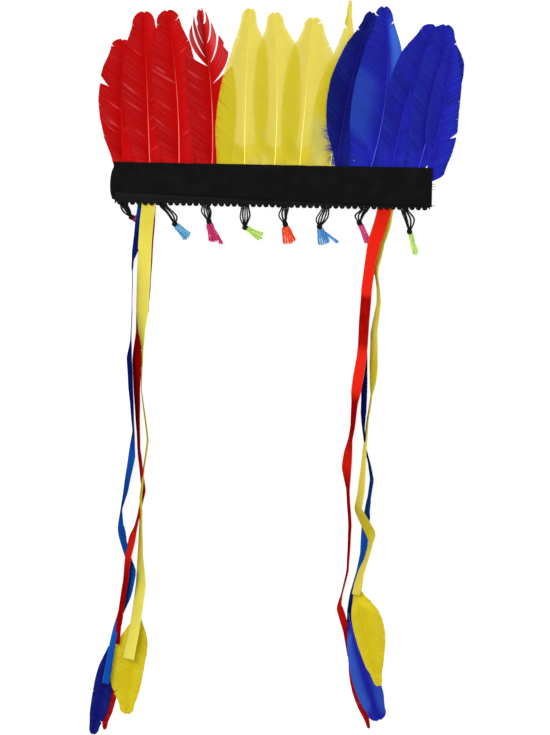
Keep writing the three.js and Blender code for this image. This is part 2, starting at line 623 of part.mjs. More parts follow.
// base places a feather's base as the ribbon bends do, side and down; tip is how far the tip lies to
// the right of the base and below it, as shares of the ribbon feather's length. baseRise and tipRise
// are the heights of its middle line there, in ribbon walls.
const drops = [
  { name: 'left_red', group: 'left', color: red, base: [-1.85, 0.982], tip: [-0.077, 0.776],
    baseRise: 0.75, tipRise: 0.55, splits: [],
    left: [0.3, 0.6, 0.7, 0.6, 0.35], right: [0.3, 0.6, 0.7, 0.6, 0.35] },
  { name: 'left_blue', group: 'left', color: blue, base: [-2.16, 0.975], tip: [-0.146, 0.851],
    baseRise: 2.4, tipRise: 2, splits: [splitOf('left', 0.85, 0.5, 0.14)],
    left: [0.5, 0.8, 0.85, 0.75, 0.4], right: [0.35, 0.5, 0.55, 0.5, 0.35] },
  { name: 'left_yellow', group: 'left', color: yellow, base: [-0.1, 0.9], tip: [-0.102, 0.979],
    baseRise: 3.9, tipRise: 3.7, splits: [splitOf('right', 0.8, 0.5, 0.16)],
    left: [0.5, 0.95, 0.95, 0.8, 0.5], right: [0.6, 1.2, 1.7, 1.3, 0.6] },
  { name: 'right_red', group: 'right', color: red, base: [-1.7, 0.963], tip: [0.19, 0.802],
    baseRise: 2, tipRise: 0.6, splits: [],
    left: [0.3, 0.6, 0.6, 0.5, 0.3], right: [0.3, 0.6, 0.7, 0.6, 0.35] },
  { name: 'right_blue', group: 'right', color: blue, base: [-1.8, 0.91], tip: [0.299, 0.948],
    baseRise: 3.7, tipRise: 3, splits: [],
    left: [0.5, 0.8, 0.95, 0.95, 0.7], right: [0.5, 0.85, 1, 1, 0.7] },
  { name: 'right_yellow', group: 'right', color: yellow, base: [-1.35, 0.84], tip: [0.223, 0.926],
    baseRise: 5, tipRise: 5, splits: [splitOf('right', 0.86, 0.5, 0.12)],
    left: [0.7, 1.45, 1.4, 0.9, 0.4], right: [0.5, 0.8, 0.8, 0.6, 0.3] },
];

for (const row of drops) {
  const [side, down] = row.base;
  const [aside, below] = row.tip;
  const root = new THREE.Vector2(groups[row.group] + side * ribbonWidth, -braidBottom - down * ribbonDrop);
  const tip = root.clone().add(new THREE.Vector2(aside * smallLength, -below * smallLength));
  addPiece(`ribbon_feather_${row.name}`, featherSolid({
    ...row, root, tip,
    bow: 0.01, start: 0, half: smallHalf, quill: smallQuill, wall: vaneWall, rise: smallRise,
    tuck: smallTuck, tilt: 0, camber: 0, lift: 0,
    rootHeight: row.baseRise * ribbonWall, tipHeight: row.tipRise * ribbonWall, fall: 1,
  }), row.color, 0.6);
}

// Tassels from left to right. at is a share of the cover's length; knot and end give where the knot
// and the end of the tuft lie, right and down from the start of the loops, in loop drops; belly is
// how far the loops bulge left and right, and flare how far the tuft opens, in loop drops.
const tassels = [
  { color: 0xe03020, at: 0.035, knot: [0.36, 0.72], end: [1.3, 1.02], belly: [0.3, 0.1], flare: 0.34 },
  { color: 0x5aa5c8, at: 0.159, knot: [0.56, 1.02], end: [1.24, 1.66], belly: [0.1, 0.34], flare: 0.4 },
  { color: 0xc83264, at: 0.291, knot: [0.17, 0.86], end: [0.44, 1.84], belly: [0.3, 0.2], flare: 0.42 },
  { color: 0xbee16e, at: 0.415, knot: [0, 1.12], end: [0.86, 1.58], belly: [0.26, 0.26], flare: 0.4 },
  { color: 0xf0461e, at: 0.54, knot: [0.03, 0.94], end: [0.28, 1.86], belly: [0.34, 0.08], flare: 0.56 },
  { color: 0x5096cd, at: 0.667, knot: [-0.28, 1.02], end: [-0.02, 1.88], belly: [0.3, 0.3], flare: 0.5 },
  { color: 0xd74682, at: 0.79, knot: [-0.24, 0.79], end: [0.23, 1.78], belly: [0.36, 0.1], flare: 0.26 },
  { color: 0xc8eb8c, at: 0.916, knot: [0.27, 1.18], end: [0.6, 2.28], belly: [0.1, 0.4], flare: 0.26 },
];

// The black loops: three threads that run from under the braid down to the knot on the table. The
// outer ones bulge to the two sides. A loop dips a little under the braid's edge and hangs half way
// down to the knot where it is widest.
const threadSpread = 2.2;
const threadDip = 0.4;
const bulgeAt = 0.55;
const bulgeHeight = 0.42;
function tasselCord(start, knot, belly) {
  const under = packBase + threadRound / 2;
  const knotHeight = gap + knotRound / 2;
  const [left, right] = belly.map((share) => share * loopDrop);
  const middles = [-left, 0.15 * (right - left), right];
  const widest = start.clone().lerp(knot, bulgeAt);
  const threads = middles.map((aside, k) => {
    const off = (k - 1) * threadRound * threadSpread;
    const curve = new THREE.CatmullRomCurve3([
      new THREE.Vector3(start.x + off, start.y + threadTuck, under),
      new THREE.Vector3(start.x + off, start.y - scallopReach - gap, under - threadDip),
      new THREE.Vector3(widest.x + aside, widest.y, under * bulgeHeight),
      new THREE.Vector3(knot.x, knot.y, knotHeight),
    ]);
    return strand(curve, threadRound, 5);
  });
  const knotBall = new THREE.IcosahedronGeometry(knotRound / 2, 0).translate(knot.x, knot.y, knotHeight);
  return joined([...threads, knotBall]);
}

// Half width of a tuft at a share of its length.
function tuftHalf(flare, part) {
  return lockRound * 0.62 + part * (flare * loopDrop * 0.5 - lockRound * 0.3);
}

// The coloured tuft: it opens from a neck against the knot into a flat fan with a ridge for each
// lock, and the locks part towards their ends. Its end is a little longer in the middle.
const tuftParts = [0, 0.12, 0.5, 1];
const neckNarrow = 0.7;
const endThins = 0.35;
const valleyDeep = 0.3;
const edgeLow = 0.25;
const endRound = 0.09;
const partFrom = 0.55;
const partTo = 1.1;
const partOpen = 0.22;
function tasselTuft(knot, end, flare) {
  const along = end.clone().sub(knot).normalize();
  const across = new THREE.Vector2(-along.y, along.x);
  const neck = knot.clone().addScaledVector(along, knotRound / 2 + gap);
  const length = Math.max(tuftShortest, end.distanceTo(neck));
  const place = (part, aside, z = 0) => {
    const plan = neck.clone().addScaledVector(along, part * length).addScaledVector(across, aside);
    return new THREE.Vector3(plan.x, plan.y, z);
  };
  const points = 2 * lockCount;
  const rings = tuftParts.map((part) => {
    const half = tuftHalf(flare, part) * (part === 0 ? neckNarrow : 1);
    const top = gap + lockRound * (1 - endThins * part);
    const back = part < 1 ? 0 : endRound;
    const ring = [];
    for (let k = 0; k <= points; k += 1) {
      const aside = 1 - k / lockCount;
      const valley = k % 2 === 0 ? valleyDeep : 0;
      const edge = k === 0 || k === points ? edgeLow : 0;
      ring.push(place(part - back * Math.abs(aside), half * aside, top - lockRound * (valley + edge)));
    }
    ring.push(place(part - back, -half * 0.8, gap), place(part - back, half * 0.8, gap));
    return ring;
  });
  const partings = Array.from({ length: lockCount - 1 }, (_, k) => {
    const share = 1 - (2 * (k + 1)) / lockCount;
    const from = place(partFrom, share * tuftHalf(flare, partFrom));
    const to = place(partTo, share * tuftHalf(flare, partTo));
    const side = across.clone().multiplyScalar(lockRound * partOpen);
    const outline = new THREE.Shape([
      new THREE.Vector2(from.x, from.y),
      new THREE.Vector2(to.x + side.x, to.y + side.y),
      new THREE.Vector2(to.x - side.x, to.y - side.y),
    ]);
    return solidOf(new THREE.ExtrudeGeometry(outline, { depth: 3 * lockRound, bevelEnabled: false }));
  });
  return geometryOf(partings.reduce((rest, parting) => rest.subtract(parting), solidOf(loft(rings, points))));
}

tassels.forEach((tassel, k) => {
  const start = new THREE.Vector2(coverLeft + tassel.at * coverLength, -braidBottom);
  const place = ([right, down]) => start.clone().add(new THREE.Vector2(right * loopDrop, -down * loopDrop));
  const knot = place(tassel.knot);
  addPiece(`tassel_cord_${k + 1}`, tasselCord(start, knot, tassel.belly), black, 0.8);
  addPiece(`tassel_tuft_${k + 1}`, tasselTuft(knot, place(tassel.end), tassel.flare), tassel.color, 0.7);
});

export default headdress;
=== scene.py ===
"""The looks of a feathered headdress that lies flat, built around its fixed frame.

Lengths are in millimetres until a mesh is made, and MM turns them into Blender's metres. X runs along
the band, Y towards the tips of the crown feathers and Z up from the floor.
"""

import logging
import math
from dataclasses import dataclass
from enum import Enum
from typing import Iterable, Sequence

import bpy
import numpy as np
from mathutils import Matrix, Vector

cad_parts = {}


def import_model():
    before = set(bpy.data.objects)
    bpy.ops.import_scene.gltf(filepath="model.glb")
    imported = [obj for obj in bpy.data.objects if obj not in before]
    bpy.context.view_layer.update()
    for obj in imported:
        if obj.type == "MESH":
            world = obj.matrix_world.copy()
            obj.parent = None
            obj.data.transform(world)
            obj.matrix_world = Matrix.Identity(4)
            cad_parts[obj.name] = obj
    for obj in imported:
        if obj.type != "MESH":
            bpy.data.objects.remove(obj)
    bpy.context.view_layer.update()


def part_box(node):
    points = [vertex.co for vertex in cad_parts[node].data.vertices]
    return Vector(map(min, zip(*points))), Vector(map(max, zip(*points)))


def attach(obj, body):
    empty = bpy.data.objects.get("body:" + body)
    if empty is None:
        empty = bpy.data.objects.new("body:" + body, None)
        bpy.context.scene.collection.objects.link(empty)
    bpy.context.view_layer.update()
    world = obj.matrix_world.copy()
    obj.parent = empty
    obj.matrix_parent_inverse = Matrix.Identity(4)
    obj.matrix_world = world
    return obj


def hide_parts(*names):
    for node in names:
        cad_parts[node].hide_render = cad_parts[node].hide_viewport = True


LOG = logging.getLogger("headdress")
MM = 0.001
BODY = "root"
Colour = tuple[float, float, float]
Place = tuple[float, float]

# Band and cloth sizes, which the frame's solids share
COVER_LEFT, COVER_LENGTH, COVER_ABOVE = -141.0, 286.0, 18.4
COVER_BELOW = (7.7, 12.5, 17.0)
BRAID_TOP, BRAID_BOTTOM, BRAID_LENGTH = 6.0, 17.6, 283.0
SCALLOP_PITCH, SCALLOP_REACH = 5.7, 2.0
LOOP_WALL, LOOP_RISE, LOOP_WIDTH, HEAD_ROUND = 1.2, 6.0, 30.0, 580.0
PACK_BASE = 8.7
GAP = 0.3

# Ribbon and feather sizes, which the frame's solids share
RIBBON_WIDTH, RIBBON_WALL, RIBBON_DROP, RIBBON_TUCK = 12.7, 1.0, 410.0, 9.0
FEATHER_LENGTH, FEATHER_HALF = 140.0, 22.0
SMALL_LENGTH, SMALL_HALF = 93.0, 12.0
LOOP_DROP, KNOT_ROUND = 18.0, 4.2


def srgb(red: float, green: float, blue: float) -> Colour:
    """Linear colour of an 8-bit display colour."""
    parts = [value / 255 for value in (red, green, blue)]
    return tuple(p / 12.92 if p <= 0.04045 else ((p + 0.055) / 1.055) ** 2.4 for p in parts)


def smooth(low: float, high: float, value: np.ndarray | float) -> np.ndarray | float:
    """Smooth step of a value from low to high."""
    t = np.clip((value - low) / (high - low), 0, 1)
    return t * t * (3 - 2 * t)


def bezier(t: np.ndarray, first: np.ndarray, pull: np.ndarray, last: np.ndarray) -> np.ndarray:
    """Points of a curve from first to last that bends towards pull, at shares t."""
    return (1 - t) ** 2 * first + 2 * t * (1 - t) * pull + t * t * last


def unit(vectors: np.ndarray) -> np.ndarray:
    """Vectors in rows, each made one long."""
    return vectors / np.linalg.norm(vectors, axis=-1)[..., None]


def square_to(directions: np.ndarray) -> np.ndarray:
    """Plan directions turned to the right by a quarter turn."""
    return np.stack([directions[..., 1], -directions[..., 0]], -1)


def distances(line: np.ndarray) -> np.ndarray:
    """Distance of each point of a line from its start, along the line."""
    return np.concatenate([[0], np.cumsum(np.linalg.norm(np.diff(line, axis=0), axis=1))])


def raised(plan: np.ndarray, rise: np.ndarray) -> np.ndarray:
    """Plan points with their heights."""
    return np.concatenate([plan, rise[:, None]], -1)


class Side(Enum):
    """The two sides of a feather's rachis, seen with its tip up."""

    LEFT = -1
    RIGHT = 1


class Signal:
    """A number socket in a shader tree. Arithmetic on it adds Math nodes."""

    def __init__(self, paint: "Paint", socket: bpy.types.NodeSocket) -> None:
        """Keeps the socket and the paint it belongs to."""
        self.paint = paint
        self.socket = socket

    def _math(self, operation: str, *values: "Signal | float") -> "Signal":
        """Adds one Math node."""
        node = self.paint.node("ShaderNodeMath", {"operation": operation}, dict(enumerate(values)))
        return Signal(self.paint, node.outputs[0])

    def __add__(self, other: "Signal | float") -> "Signal":
        """Sum."""
        return self._math("ADD", self, other)

    def __sub__(self, other: "Signal | float") -> "Signal":
        """Difference."""
        return self._math("SUBTRACT", self, other)

    def __rsub__(self, other: float) -> "Signal":
        """Reflected difference."""
        return self._math("SUBTRACT", other, self)

    def __mul__(self, other: "Signal | float") -> "Signal":
        """Product."""
        return self._math("MULTIPLY", self, other)

    __radd__ = __add__
    __rmul__ = __mul__

    def sin(self) -> "Signal":
        """Sine of the value in radians."""
        return self._math("SINE", self)

    def size(self) -> "Signal":
        """Value without its sign."""
        return self._math("ABSOLUTE", self)

    def step(self, low: float, high: float) -> "Signal":
        """Smooth step from low to high."""
        values = {"Value": self, "From Min": low, "From Max": high, "To Min": 0.0, "To Max": 1.0}
        node = self.paint.node("ShaderNodeMapRange", {"interpolation_type": "SMOOTHSTEP"}, values)
        return Signal(self.paint, node.outputs[0])


class Paint:
    """One material's node tree while it is made."""

    def __init__(self, name: str) -> None:
        """Starts a material with its usual shader."""
        self.material = bpy.data.materials.new(name)
        self.material.use_nodes = True
        self.tree = self.material.node_tree
        self.shader = self.tree.nodes["Principled BSDF"]

    def join(self, value: object, socket: bpy.types.NodeSocket) -> None:
        """Links a signal or a socket to a socket, or sets the socket to a value."""
        if isinstance(value, Signal):
            value = value.socket
        if isinstance(value, bpy.types.NodeSocket):
            self.tree.links.new(value, socket)
        elif socket.type == "RGBA" and len(value) == 3:
            socket.default_value = (*value, 1.0)
        else:
            socket.default_value = value

    def node(self, kind: str, settings: dict | None = None, values: dict | None = None) -> bpy.types.Node:
        """Adds a node.

        Args:
            kind: The node's type.
            settings: Its own properties.
            values: Numbers, colours, signals or sockets for its inputs, by name or number.

        Returns:
            The new node.
        """
        node = self.tree.nodes.new(kind)
        for key, value in (settings or {}).items():
            setattr(node, key, value)
        for key, value in (values or {}).items():
            self.join(value, node.inputs[key])
        return node

    def attribute(self, name: str) -> Signal:
        """Number that the mesh stores under a name."""
        return Signal(self, self.node("ShaderNodeAttribute", {"attribute_name": name}).outputs["Fac"])

    def place(self) -> tuple[Signal, Signal, Signal]:
        """Object coordinates, in metres."""
        coordinates = self.node("ShaderNodeTexCoord").outputs["Object"]
        split = self.node("ShaderNodeSeparateXYZ", values={0: coordinates})
        return tuple(Signal(self, output) for output in split.outputs)

    def across(self) -> tuple[Signal, Signal]:
        """The piece's own UV map: across the cloth, and along it in metres."""
        split = self.node("ShaderNodeSeparateXYZ", values={0: self.node("ShaderNodeTexCoord").outputs["UV"]})
        return Signal(self, split.outputs[0]), Signal(self, split.outputs[1])

    def noise(self, scale: float, detail: float = 2.0, stretch: Sequence[float] = (1, 1, 1)) -> Signal:
        """Noise on Object coordinates, with scale in cells a metre."""
        coordinates = self.node("ShaderNodeTexCoord").outputs["Object"]
        mapped = self.node("ShaderNodeMapping", values={"Vector": coordinates, "Scale": stretch})
        values = {"Vector": mapped.outputs[0], "Scale": scale, "Detail": detail}
        return Signal(self, self.node("ShaderNodeTexNoise", values=values).outputs["Fac"])

    def blend(self, factor: Signal | float, first: object, second: object) -> bpy.types.NodeSocket:
        """Mix of two colours."""
        return self.node("ShaderNodeMix", {"data_type": "RGBA"}, {0: factor, 6: first, 7: second}).outputs[2]

    def bump(self, height: Signal, distance: float, strength: float = 1.0) -> bpy.types.NodeSocket:
        """Normal bent by a height, with the distance in metres."""
        values = {"Height": height, "Distance": distance, "Strength": strength}
        return self.node("ShaderNodeBump", values=values).outputs[0]

    def finish(self, **sockets: object) -> bpy.types.Material:
        """Sets the shader's sockets, named with underscores for spaces, and gives the material back."""
        for key, value in sockets.items():
            self.join(value, self.shader.inputs[key.replace("_", " ")])
        return self.material


@dataclass(frozen=True)
class FeatherFinish:
    """Dyed feather: its colours, how solid a barb is, how pale its streaks are and how broad the barbs."""

    slot: str
    deep: Colour
    dye: Colour
    # pale is the colour of pale streaks and loose locks, and also of painted sheen.
    pale: Colour
    shaft: Colour
    solid: float
    fleck: float
    broad: float

    def barbs(self) -> bpy.types.Material:
        """Material of the barbs. Each has its own tint, its pale streaks and locks, and painted sheen."""
        paint = Paint(f"{self.slot}_barbs")
        tint = paint.attribute("tint") + 0.3 * (paint.noise(260.0, 3.0) - 0.5)
        body = paint.blend(tint.step(0.0, 1.0), self.deep, self.dye)
        # The pale attribute blends in pale streaks and locks and also painted sheen where the feather
        # catches the light.
        colour = paint.blend(paint.attribute("pale"), body, self.pale)
        grain = paint.noise(2600.0, 1.0)
        return paint.finish(
            Base_Color=colour, Roughness=0.6, Alpha=self.solid, Specular_IOR_Level=0.04,
            Normal=paint.bump(grain, 0.00005, 0.5),
        )

    def rachis(self) -> bpy.types.Material:
        """Material of the rachis and quill, lighter towards its base."""
        paint = Paint(f"{self.slot}_shaft")
        streak = paint.noise(500.0, 2.0, (1.0, 0.08, 1.0))
        shine = paint.attribute("pale") * (0.7 + 0.5 * streak.step(0.3, 0.8))
        body = paint.blend(paint.attribute("tint").step(0.0, 1.0), self.deep, self.dye)
        colour = paint.blend(shine.step(0.0, 1.0), body, self.shaft)
        return paint.finish(Base_Color=colour, Roughness=0.4, Specular_IOR_Level=0.15,
                            Normal=paint.bump(streak, 0.0001, 0.4))


@dataclass(frozen=True)
class SatinFinish:
    """Satin ribbon: its colour, that of its woven edges and that of its painted shade.

    threads is their count across the ribbon and ribs is theirs in a metre. border is where the woven edge
    begins and ends, from the ribbon's middle, and mottle is how unevenly the painted shade lies.
    """

    slot: str
    face: Colour
    edge: Colour
    shade: Colour
    threads: int = 60
    ribs: int = 2200
    border: Place = (0.42, 0.46)
    mottle: float = 0.25

    def material(self) -> bpy.types.Material:
        """Fine threads along the ribbon, ribs across it, brighter woven edges and painted shade."""
        paint = Paint(self.slot)
        across, along = paint.across()
        border = (across - 0.5).size().step(*self.border)
        threads = (across * (2 * math.pi * self.threads)).sin()
        ribs = (along * (2 * math.pi * self.ribs)).sin()
        # Painted shade: each row's stored shade, made uneven by noise, blends the colour towards the shade
        # colour.
        painted_shade = paint.attribute("shade") + self.mottle * (paint.noise(150.0, 3.0) - 0.5)
        colour = paint.blend(border * 0.5, self.face, self.edge)
        colour = paint.blend(painted_shade.step(0.0, 1.0), colour, self.shade)
        height = threads * 0.5 + ribs * 0.5 * (1 - border) + border * 2.0
        return paint.finish(
            Base_Color=colour, Roughness=0.4 + 0.2 * border, Specular_IOR_Level=0.0,
            Normal=paint.bump(height, 0.00003, 0.5),
        )


@dataclass(frozen=True)
class ThreadFinish:
    """Cut or twisted thread with its own tint on each strand."""

    slot: str
    dark: Colour
    light: Colour
    roughness: float = 0.5

    def material(self) -> bpy.types.Material:
        """Thread with fibre bumps."""
        paint = Paint(self.slot)
        fibre = paint.noise(3500.0, 2.0)
        colour = paint.blend(paint.attribute("tint").step(0.0, 1.0), self.dark, self.light)
        return paint.finish(
            Base_Color=colour, Roughness=self.roughness, Specular_IOR_Level=0.1,
            Normal=paint.bump(fibre, 0.0001, 0.6),
        )


@dataclass(frozen=True)
class WovenFinish:
    """Matt woven cloth: ribs or a plain weave, with lint."""

    slot: str
    base: Colour
    lint: Colour
    warp: float
    weft: float
    depth: float

    def material(self) -> bpy.types.Material:
        """Threads in both directions on Object coordinates, given by their counts a metre, and lint."""
        paint = Paint(self.slot)
        x, y, _ = paint.place()
        weave = (x * (2 * math.pi * self.warp)).sin() * 0.5 + (y * (2 * math.pi * self.weft)).sin() * 0.5
        worn = paint.noise(90.0, 4.0)
        lint = paint.noise(1400.0, 4.0)
        colour = paint.blend((weave * 0.25 + worn).step(0.35, 1.0) * 0.5 + lint.step(0.62, 0.8) * 0.35,
                             self.base, self.lint)
        return paint.finish(
            Base_Color=colour, Roughness=0.82 + 0.1 * worn, Specular_IOR_Level=0.08,
            Normal=paint.bump(weave + lint * 1.2, self.depth, 0.7),
        )


def flatten(piece: bpy.types.Object, modifier: bpy.types.Modifier) -> None:
    """Gives a piece the mesh that its modifier makes, and takes the modifier off."""
    evaluated = piece.evaluated_get(bpy.context.evaluated_depsgraph_get())
    mesh = bpy.data.meshes.new_from_object(evaluated)
    piece.modifiers.remove(modifier)
    old = piece.data
    piece.data = mesh
    bpy.data.meshes.remove(old)


class Grower:
    """A Geometry Nodes tree with named inputs that turns a mesh of lines or points into a solid mesh."""

    def __init__(self, name: str) -> None:
        """Starts a tree with a mesh input and output."""
        self.group = bpy.data.node_groups.new(name, "GeometryNodeTree")
        self.sockets: dict[str, str] = {}
        self.socket("Geometry", "NodeSocketGeometry", None)
        self.group.interface.new_socket("Geometry", in_out="OUTPUT", socket_type="NodeSocketGeometry")
        self.start = self.group.nodes.new("NodeGroupInput")
        self.end = self.group.nodes.new("NodeGroupOutput")

    def socket(self, name: str, kind: str, default: object) -> None:
        """Adds a named input with a default value."""
        item = self.group.interface.new_socket(name, in_out="INPUT", socket_type=kind)
        if default is not None:
            item.default_value = default
        self.sockets[name] = item.identifier

    def given(self, name: str) -> bpy.types.NodeSocket:
        """The tree's input of that name."""
        return self.start.outputs[name]

    def node(self, kind: str, settings: dict | None = None, values: dict | None = None) -> bpy.types.Node:
        """Adds a node, with its settings, and with numbers or sockets for its inputs."""
        node = self.group.nodes.new(kind)
        for key, value in (settings or {}).items():
            setattr(node, key, value)
        for key, value in (values or {}).items():
            if isinstance(value, bpy.types.NodeSocket):
                self.group.links.new(value, node.inputs[key])
            else:
                node.inputs[key].default_value = value
        return node

    def close(self, mesh: bpy.types.NodeSocket) -> None:
        """Ends the tree in Realize Instances and Set Material."""
        real = self.node("GeometryNodeRealizeInstances", values={"Geometry": mesh})
        values = {"Geometry": real.outputs[0], "Material": self.given("Material")}
        dressed = self.node("GeometryNodeSetMaterial", values=values)
        self.group.links.new(dressed.outputs[0], self.end.inputs[0])

    def grow(self, piece: bpy.types.Object, values: dict[str, object]) -> bpy.types.Object:
        """Runs the tree on a piece and leaves it as a plain mesh.

        Args:
            piece: The object whose mesh holds the lines or points.
            values: The tree's named inputs.

        Returns:
            The same object with its grown mesh and no modifier.
        """
        modifier = piece.modifiers.new("grow", "NODES")
        modifier.node_group = self.group
        for name, value in values.items():
            modifier[self.sockets[name]] = value
        flatten(piece, modifier)
        return piece


def sweep_tree() -> Grower:
    """Tree that sweeps each open line of a mesh into a closed strand, as thick as its girth attribute.

    Returns:
        A tree with the inputs Sides, Flatness and Material. Flatness squashes the strand's section, and
        the lean attribute turns it about the strand.
    """
    tree = Grower("strands")
    tree.socket("Sides", "NodeSocketInt", 4)
    tree.socket("Flatness", "NodeSocketFloat", 1.0)
    tree.socket("Material", "NodeSocketMaterial", None)
    curve = tree.node("GeometryNodeMeshToCurve", values={"Mesh": tree.given("Geometry")})
    upright = tree.node("GeometryNodeSetCurveNormal", {"mode": "Z_UP"}, {"Curve": curve.outputs[0]})
    lean = tree.node("GeometryNodeInputNamedAttribute", {"data_type": "FLOAT"}, {"Name": "lean"})
    values = {"Curve": upright.outputs[0], "Tilt": lean.outputs[0]}
    leaning = tree.node("GeometryNodeSetCurveTilt", values=values)
    values = {"Resolution": tree.given("Sides"), "Radius": 1.0}
    circle = tree.node("GeometryNodeCurvePrimitiveCircle", values=values)
    squash = tree.node("ShaderNodeCombineXYZ", values={"X": 1.0, "Y": tree.given("Flatness"), "Z": 1.0})
    values = {"Geometry": circle.outputs[0], "Scale": squash.outputs[0]}
    section = tree.node("GeometryNodeTransform", values=values)
    girth = tree.node("GeometryNodeInputNamedAttribute", {"data_type": "FLOAT"}, {"Name": "girth"})
    values = {"Curve": leaning.outputs[0], "Profile Curve": section.outputs[0], "Scale": girth.outputs[0],
              "Fill Caps": True}
    tree.close(tree.node("GeometryNodeCurveToMesh", values=values).outputs[0])
    return tree


def picot_tree() -> Grower:
    """Tree that sets a loop of thread at each point of a row of points.

    Returns:
        A tree with the inputs Half width, Reach, Girth and Material.
    """
    tree = Grower("picots")
    for name, default in (("Half width", 0.002), ("Reach", 0.002), ("Girth", 0.0004)):
        tree.socket(name, "NodeSocketFloat", default)
    tree.socket("Material", "NodeSocketMaterial", None)
    arc = tree.node("GeometryNodeCurveArc", {"mode": "RADIUS"}, {
        "Resolution": 9, "Radius": 1.0, "Start Angle": math.pi, "Sweep Angle": math.pi,
    })
    values = {"X": tree.given("Half width"), "Y": tree.given("Reach"), "Z": 1.0}
    size = tree.node("ShaderNodeCombineXYZ", values=values)
    loop = tree.node("GeometryNodeTransform", values={"Geometry": arc.outputs[0], "Scale": size.outputs[0]})
    values = {"Resolution": 6, "Radius": tree.given("Girth")}
    section = tree.node("GeometryNodeCurvePrimitiveCircle", values=values)
    values = {"Curve": loop.outputs[0], "Profile Curve": section.outputs[0], "Fill Caps": True}
    thread = tree.node("GeometryNodeCurveToMesh", values=values)
    values = {"Points": tree.given("Geometry"), "Instance": thread.outputs[0]}
    tree.close(tree.node("GeometryNodeInstanceOnPoints", values=values).outputs[0])
    return tree


@dataclass
class Strand:
    """One open line of points in millimetres, with its girth and looks at each point or in all."""

    points: np.ndarray
    girth: np.ndarray | float
    tint: float = 0.5
    pale: np.ndarray | float = 0.0
    lean: float = 0.0


def new_piece(name: str, points: np.ndarray, edges: Sequence = (), faces: Sequence = ()) -> bpy.types.Object:
    """Object at the origin from points in millimetres.

    Args:
        name: The piece's name.
        points: One row of x, y and z for each point.
        edges: Pairs of point numbers.
        faces: Lists of point numbers.

    Returns:
        The new object, linked to the scene.
    """
    mesh = bpy.data.meshes.new(name)
    mesh.from_pydata((np.asarray(points) * MM).tolist(), list(edges), list(faces))
    mesh.update()
    piece = bpy.data.objects.new(name, mesh)
    bpy.context.scene.collection.objects.link(piece)
    return piece


def store(piece: bpy.types.Object, name: str, values: np.ndarray) -> None:
    """Stores one number for each point of a piece under a name."""
    layer = piece.data.attributes.new(name, "FLOAT", "POINT")
    layer.data.foreach_set("value", values.astype(np.float32))


def strands_piece(name: str, strands: Iterable[Strand], tree: Grower, values: dict) -> bpy.types.Object:
    """Grows one piece from strands.

    Args:
        name: The piece's name.
        strands: The lines to sweep.
        tree: The sweeping tree.
        values: Its inputs.

    Returns:
        The piece as a plain mesh.
    """
    strands = list(strands)
    edges, first = [], 0
    for strand in strands:
        count = len(strand.points)
        edges += [(first + k, first + k + 1) for k in range(count - 1)]
        first += count
    piece = new_piece(name, np.concatenate([strand.points for strand in strands]), edges)
    for key, scale in (("girth", MM), ("tint", 1.0), ("pale", 1.0), ("lean", 1.0)):
        column = [np.broadcast_to(np.asarray(getattr(s, key), float), len(s.points)) for s in strands]
        store(piece, key, np.concatenate(column) * scale)
    return tree.grow(piece, values)


def grid_piece(name: str, top: np.ndarray, bottom: np.ndarray, along: np.ndarray) -> bpy.types.Object:
    """Closed sheet from two grids of points, with a UV map across and along it.

    Args:
        name: The piece's name.
        top: Upper points, as rows along the sheet and columns across it.
        bottom: Lower points in the same order.
        along: Place of each row along the sheet, in metres.

    Returns:
        The new object.
    """
    rows, columns = top.shape[:2]
    size = rows * columns
    points = np.concatenate([top.reshape(-1, 3), bottom.reshape(-1, 3)])
    index = np.arange(size).reshape(rows, columns)
    quads = np.stack([index[:-1, :-1], index[:-1, 1:], index[1:, 1:], index[1:, :-1]], -1).reshape(-1, 4)
    rim = np.concatenate([index[0], index[1:, -1], index[-1, -2::-1], index[-2:0:-1, 0]])
    after = np.roll(rim, -1)
    walls = np.stack([rim, rim + size, after + size, after], -1)
    faces = np.concatenate([quads, (quads + size)[:, ::-1], walls])
    edge_one, edge_two = top[0, 1] - top[0, 0], top[1, 0] - top[0, 0]
    if np.cross(edge_one, edge_two) @ (top[0, 0] - bottom[0, 0]) < 0:
        faces = faces[:, ::-1]
    piece = new_piece(name, points, faces=faces.tolist())
    layer = piece.data.uv_layers.new(name="UVMap")
    corner = np.zeros(len(piece.data.loops), int)
    piece.data.loops.foreach_get("vertex_index", corner)
    corner %= size
    uv = np.stack([(corner % columns) / (columns - 1), along[corner // columns]], -1)
    layer.data.foreach_set("uv", uv.ravel().astype(np.float32))
    piece.data.shade_smooth()
    return piece


def hand_over(piece: bpy.types.Object, nodes: Sequence[str]) -> None:
    """Tells the frame about a finished piece.

    Args:
        piece: The piece, which rides on the one body.
        nodes: The solids that it stands for.
    """
    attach(piece, BODY)
    if nodes:
        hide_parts(*nodes)
    LOG.info("%s: %d faces", piece.name, len(piece.data.polygons))


def thread_piece(
    name: str, strands: list[Strand], sweep: Grower, finish: ThreadFinish, node: str, sides: int = 5,
) -> None:
    """Makes one piece of round threads and hands it over.

    Args:
        name: The piece's name.
        strands: The threads' lines.
        sweep: The sweeping tree.
        finish: The threads' finish.
        node: The solid that the piece stands for.
        sides: Corners of a thread's section.
    """
    values = {"Sides": sides, "Flatness": 1.0, "Material": finish.material()}
    piece = strands_piece(name, strands, sweep, values)
    piece.data.shade_smooth()
    hand_over(piece, [node])


@dataclass(frozen=True)
class Split:
    """A parting between barbs: where it is on the edge, how deep it runs and how wide it opens."""

    side: Side
    at: float
    deep: float
    wide: float


@dataclass(frozen=True)
class Lock:
    """Barbs that hang together as one pointed lock, apart from the rest of the vane.

    low and high are the shares of the rachis the barbs grow from. tip and belly are the places the lock
    ends at and bends past: a share of the length, and a distance from the rachis in millimetres. spread
    is how far along the feather the barbs' ends lie apart.
    """

    side: Side
    low: float
    high: float
    tip: Place
    belly: Place
    spread: float = 3.0
    pale: float = 0.3


@dataclass(frozen=True)
class Down:
    """Soft wisps beside the base of a vane."""

    side: Side
    low: float
    high: float
    count: int
    reach: float


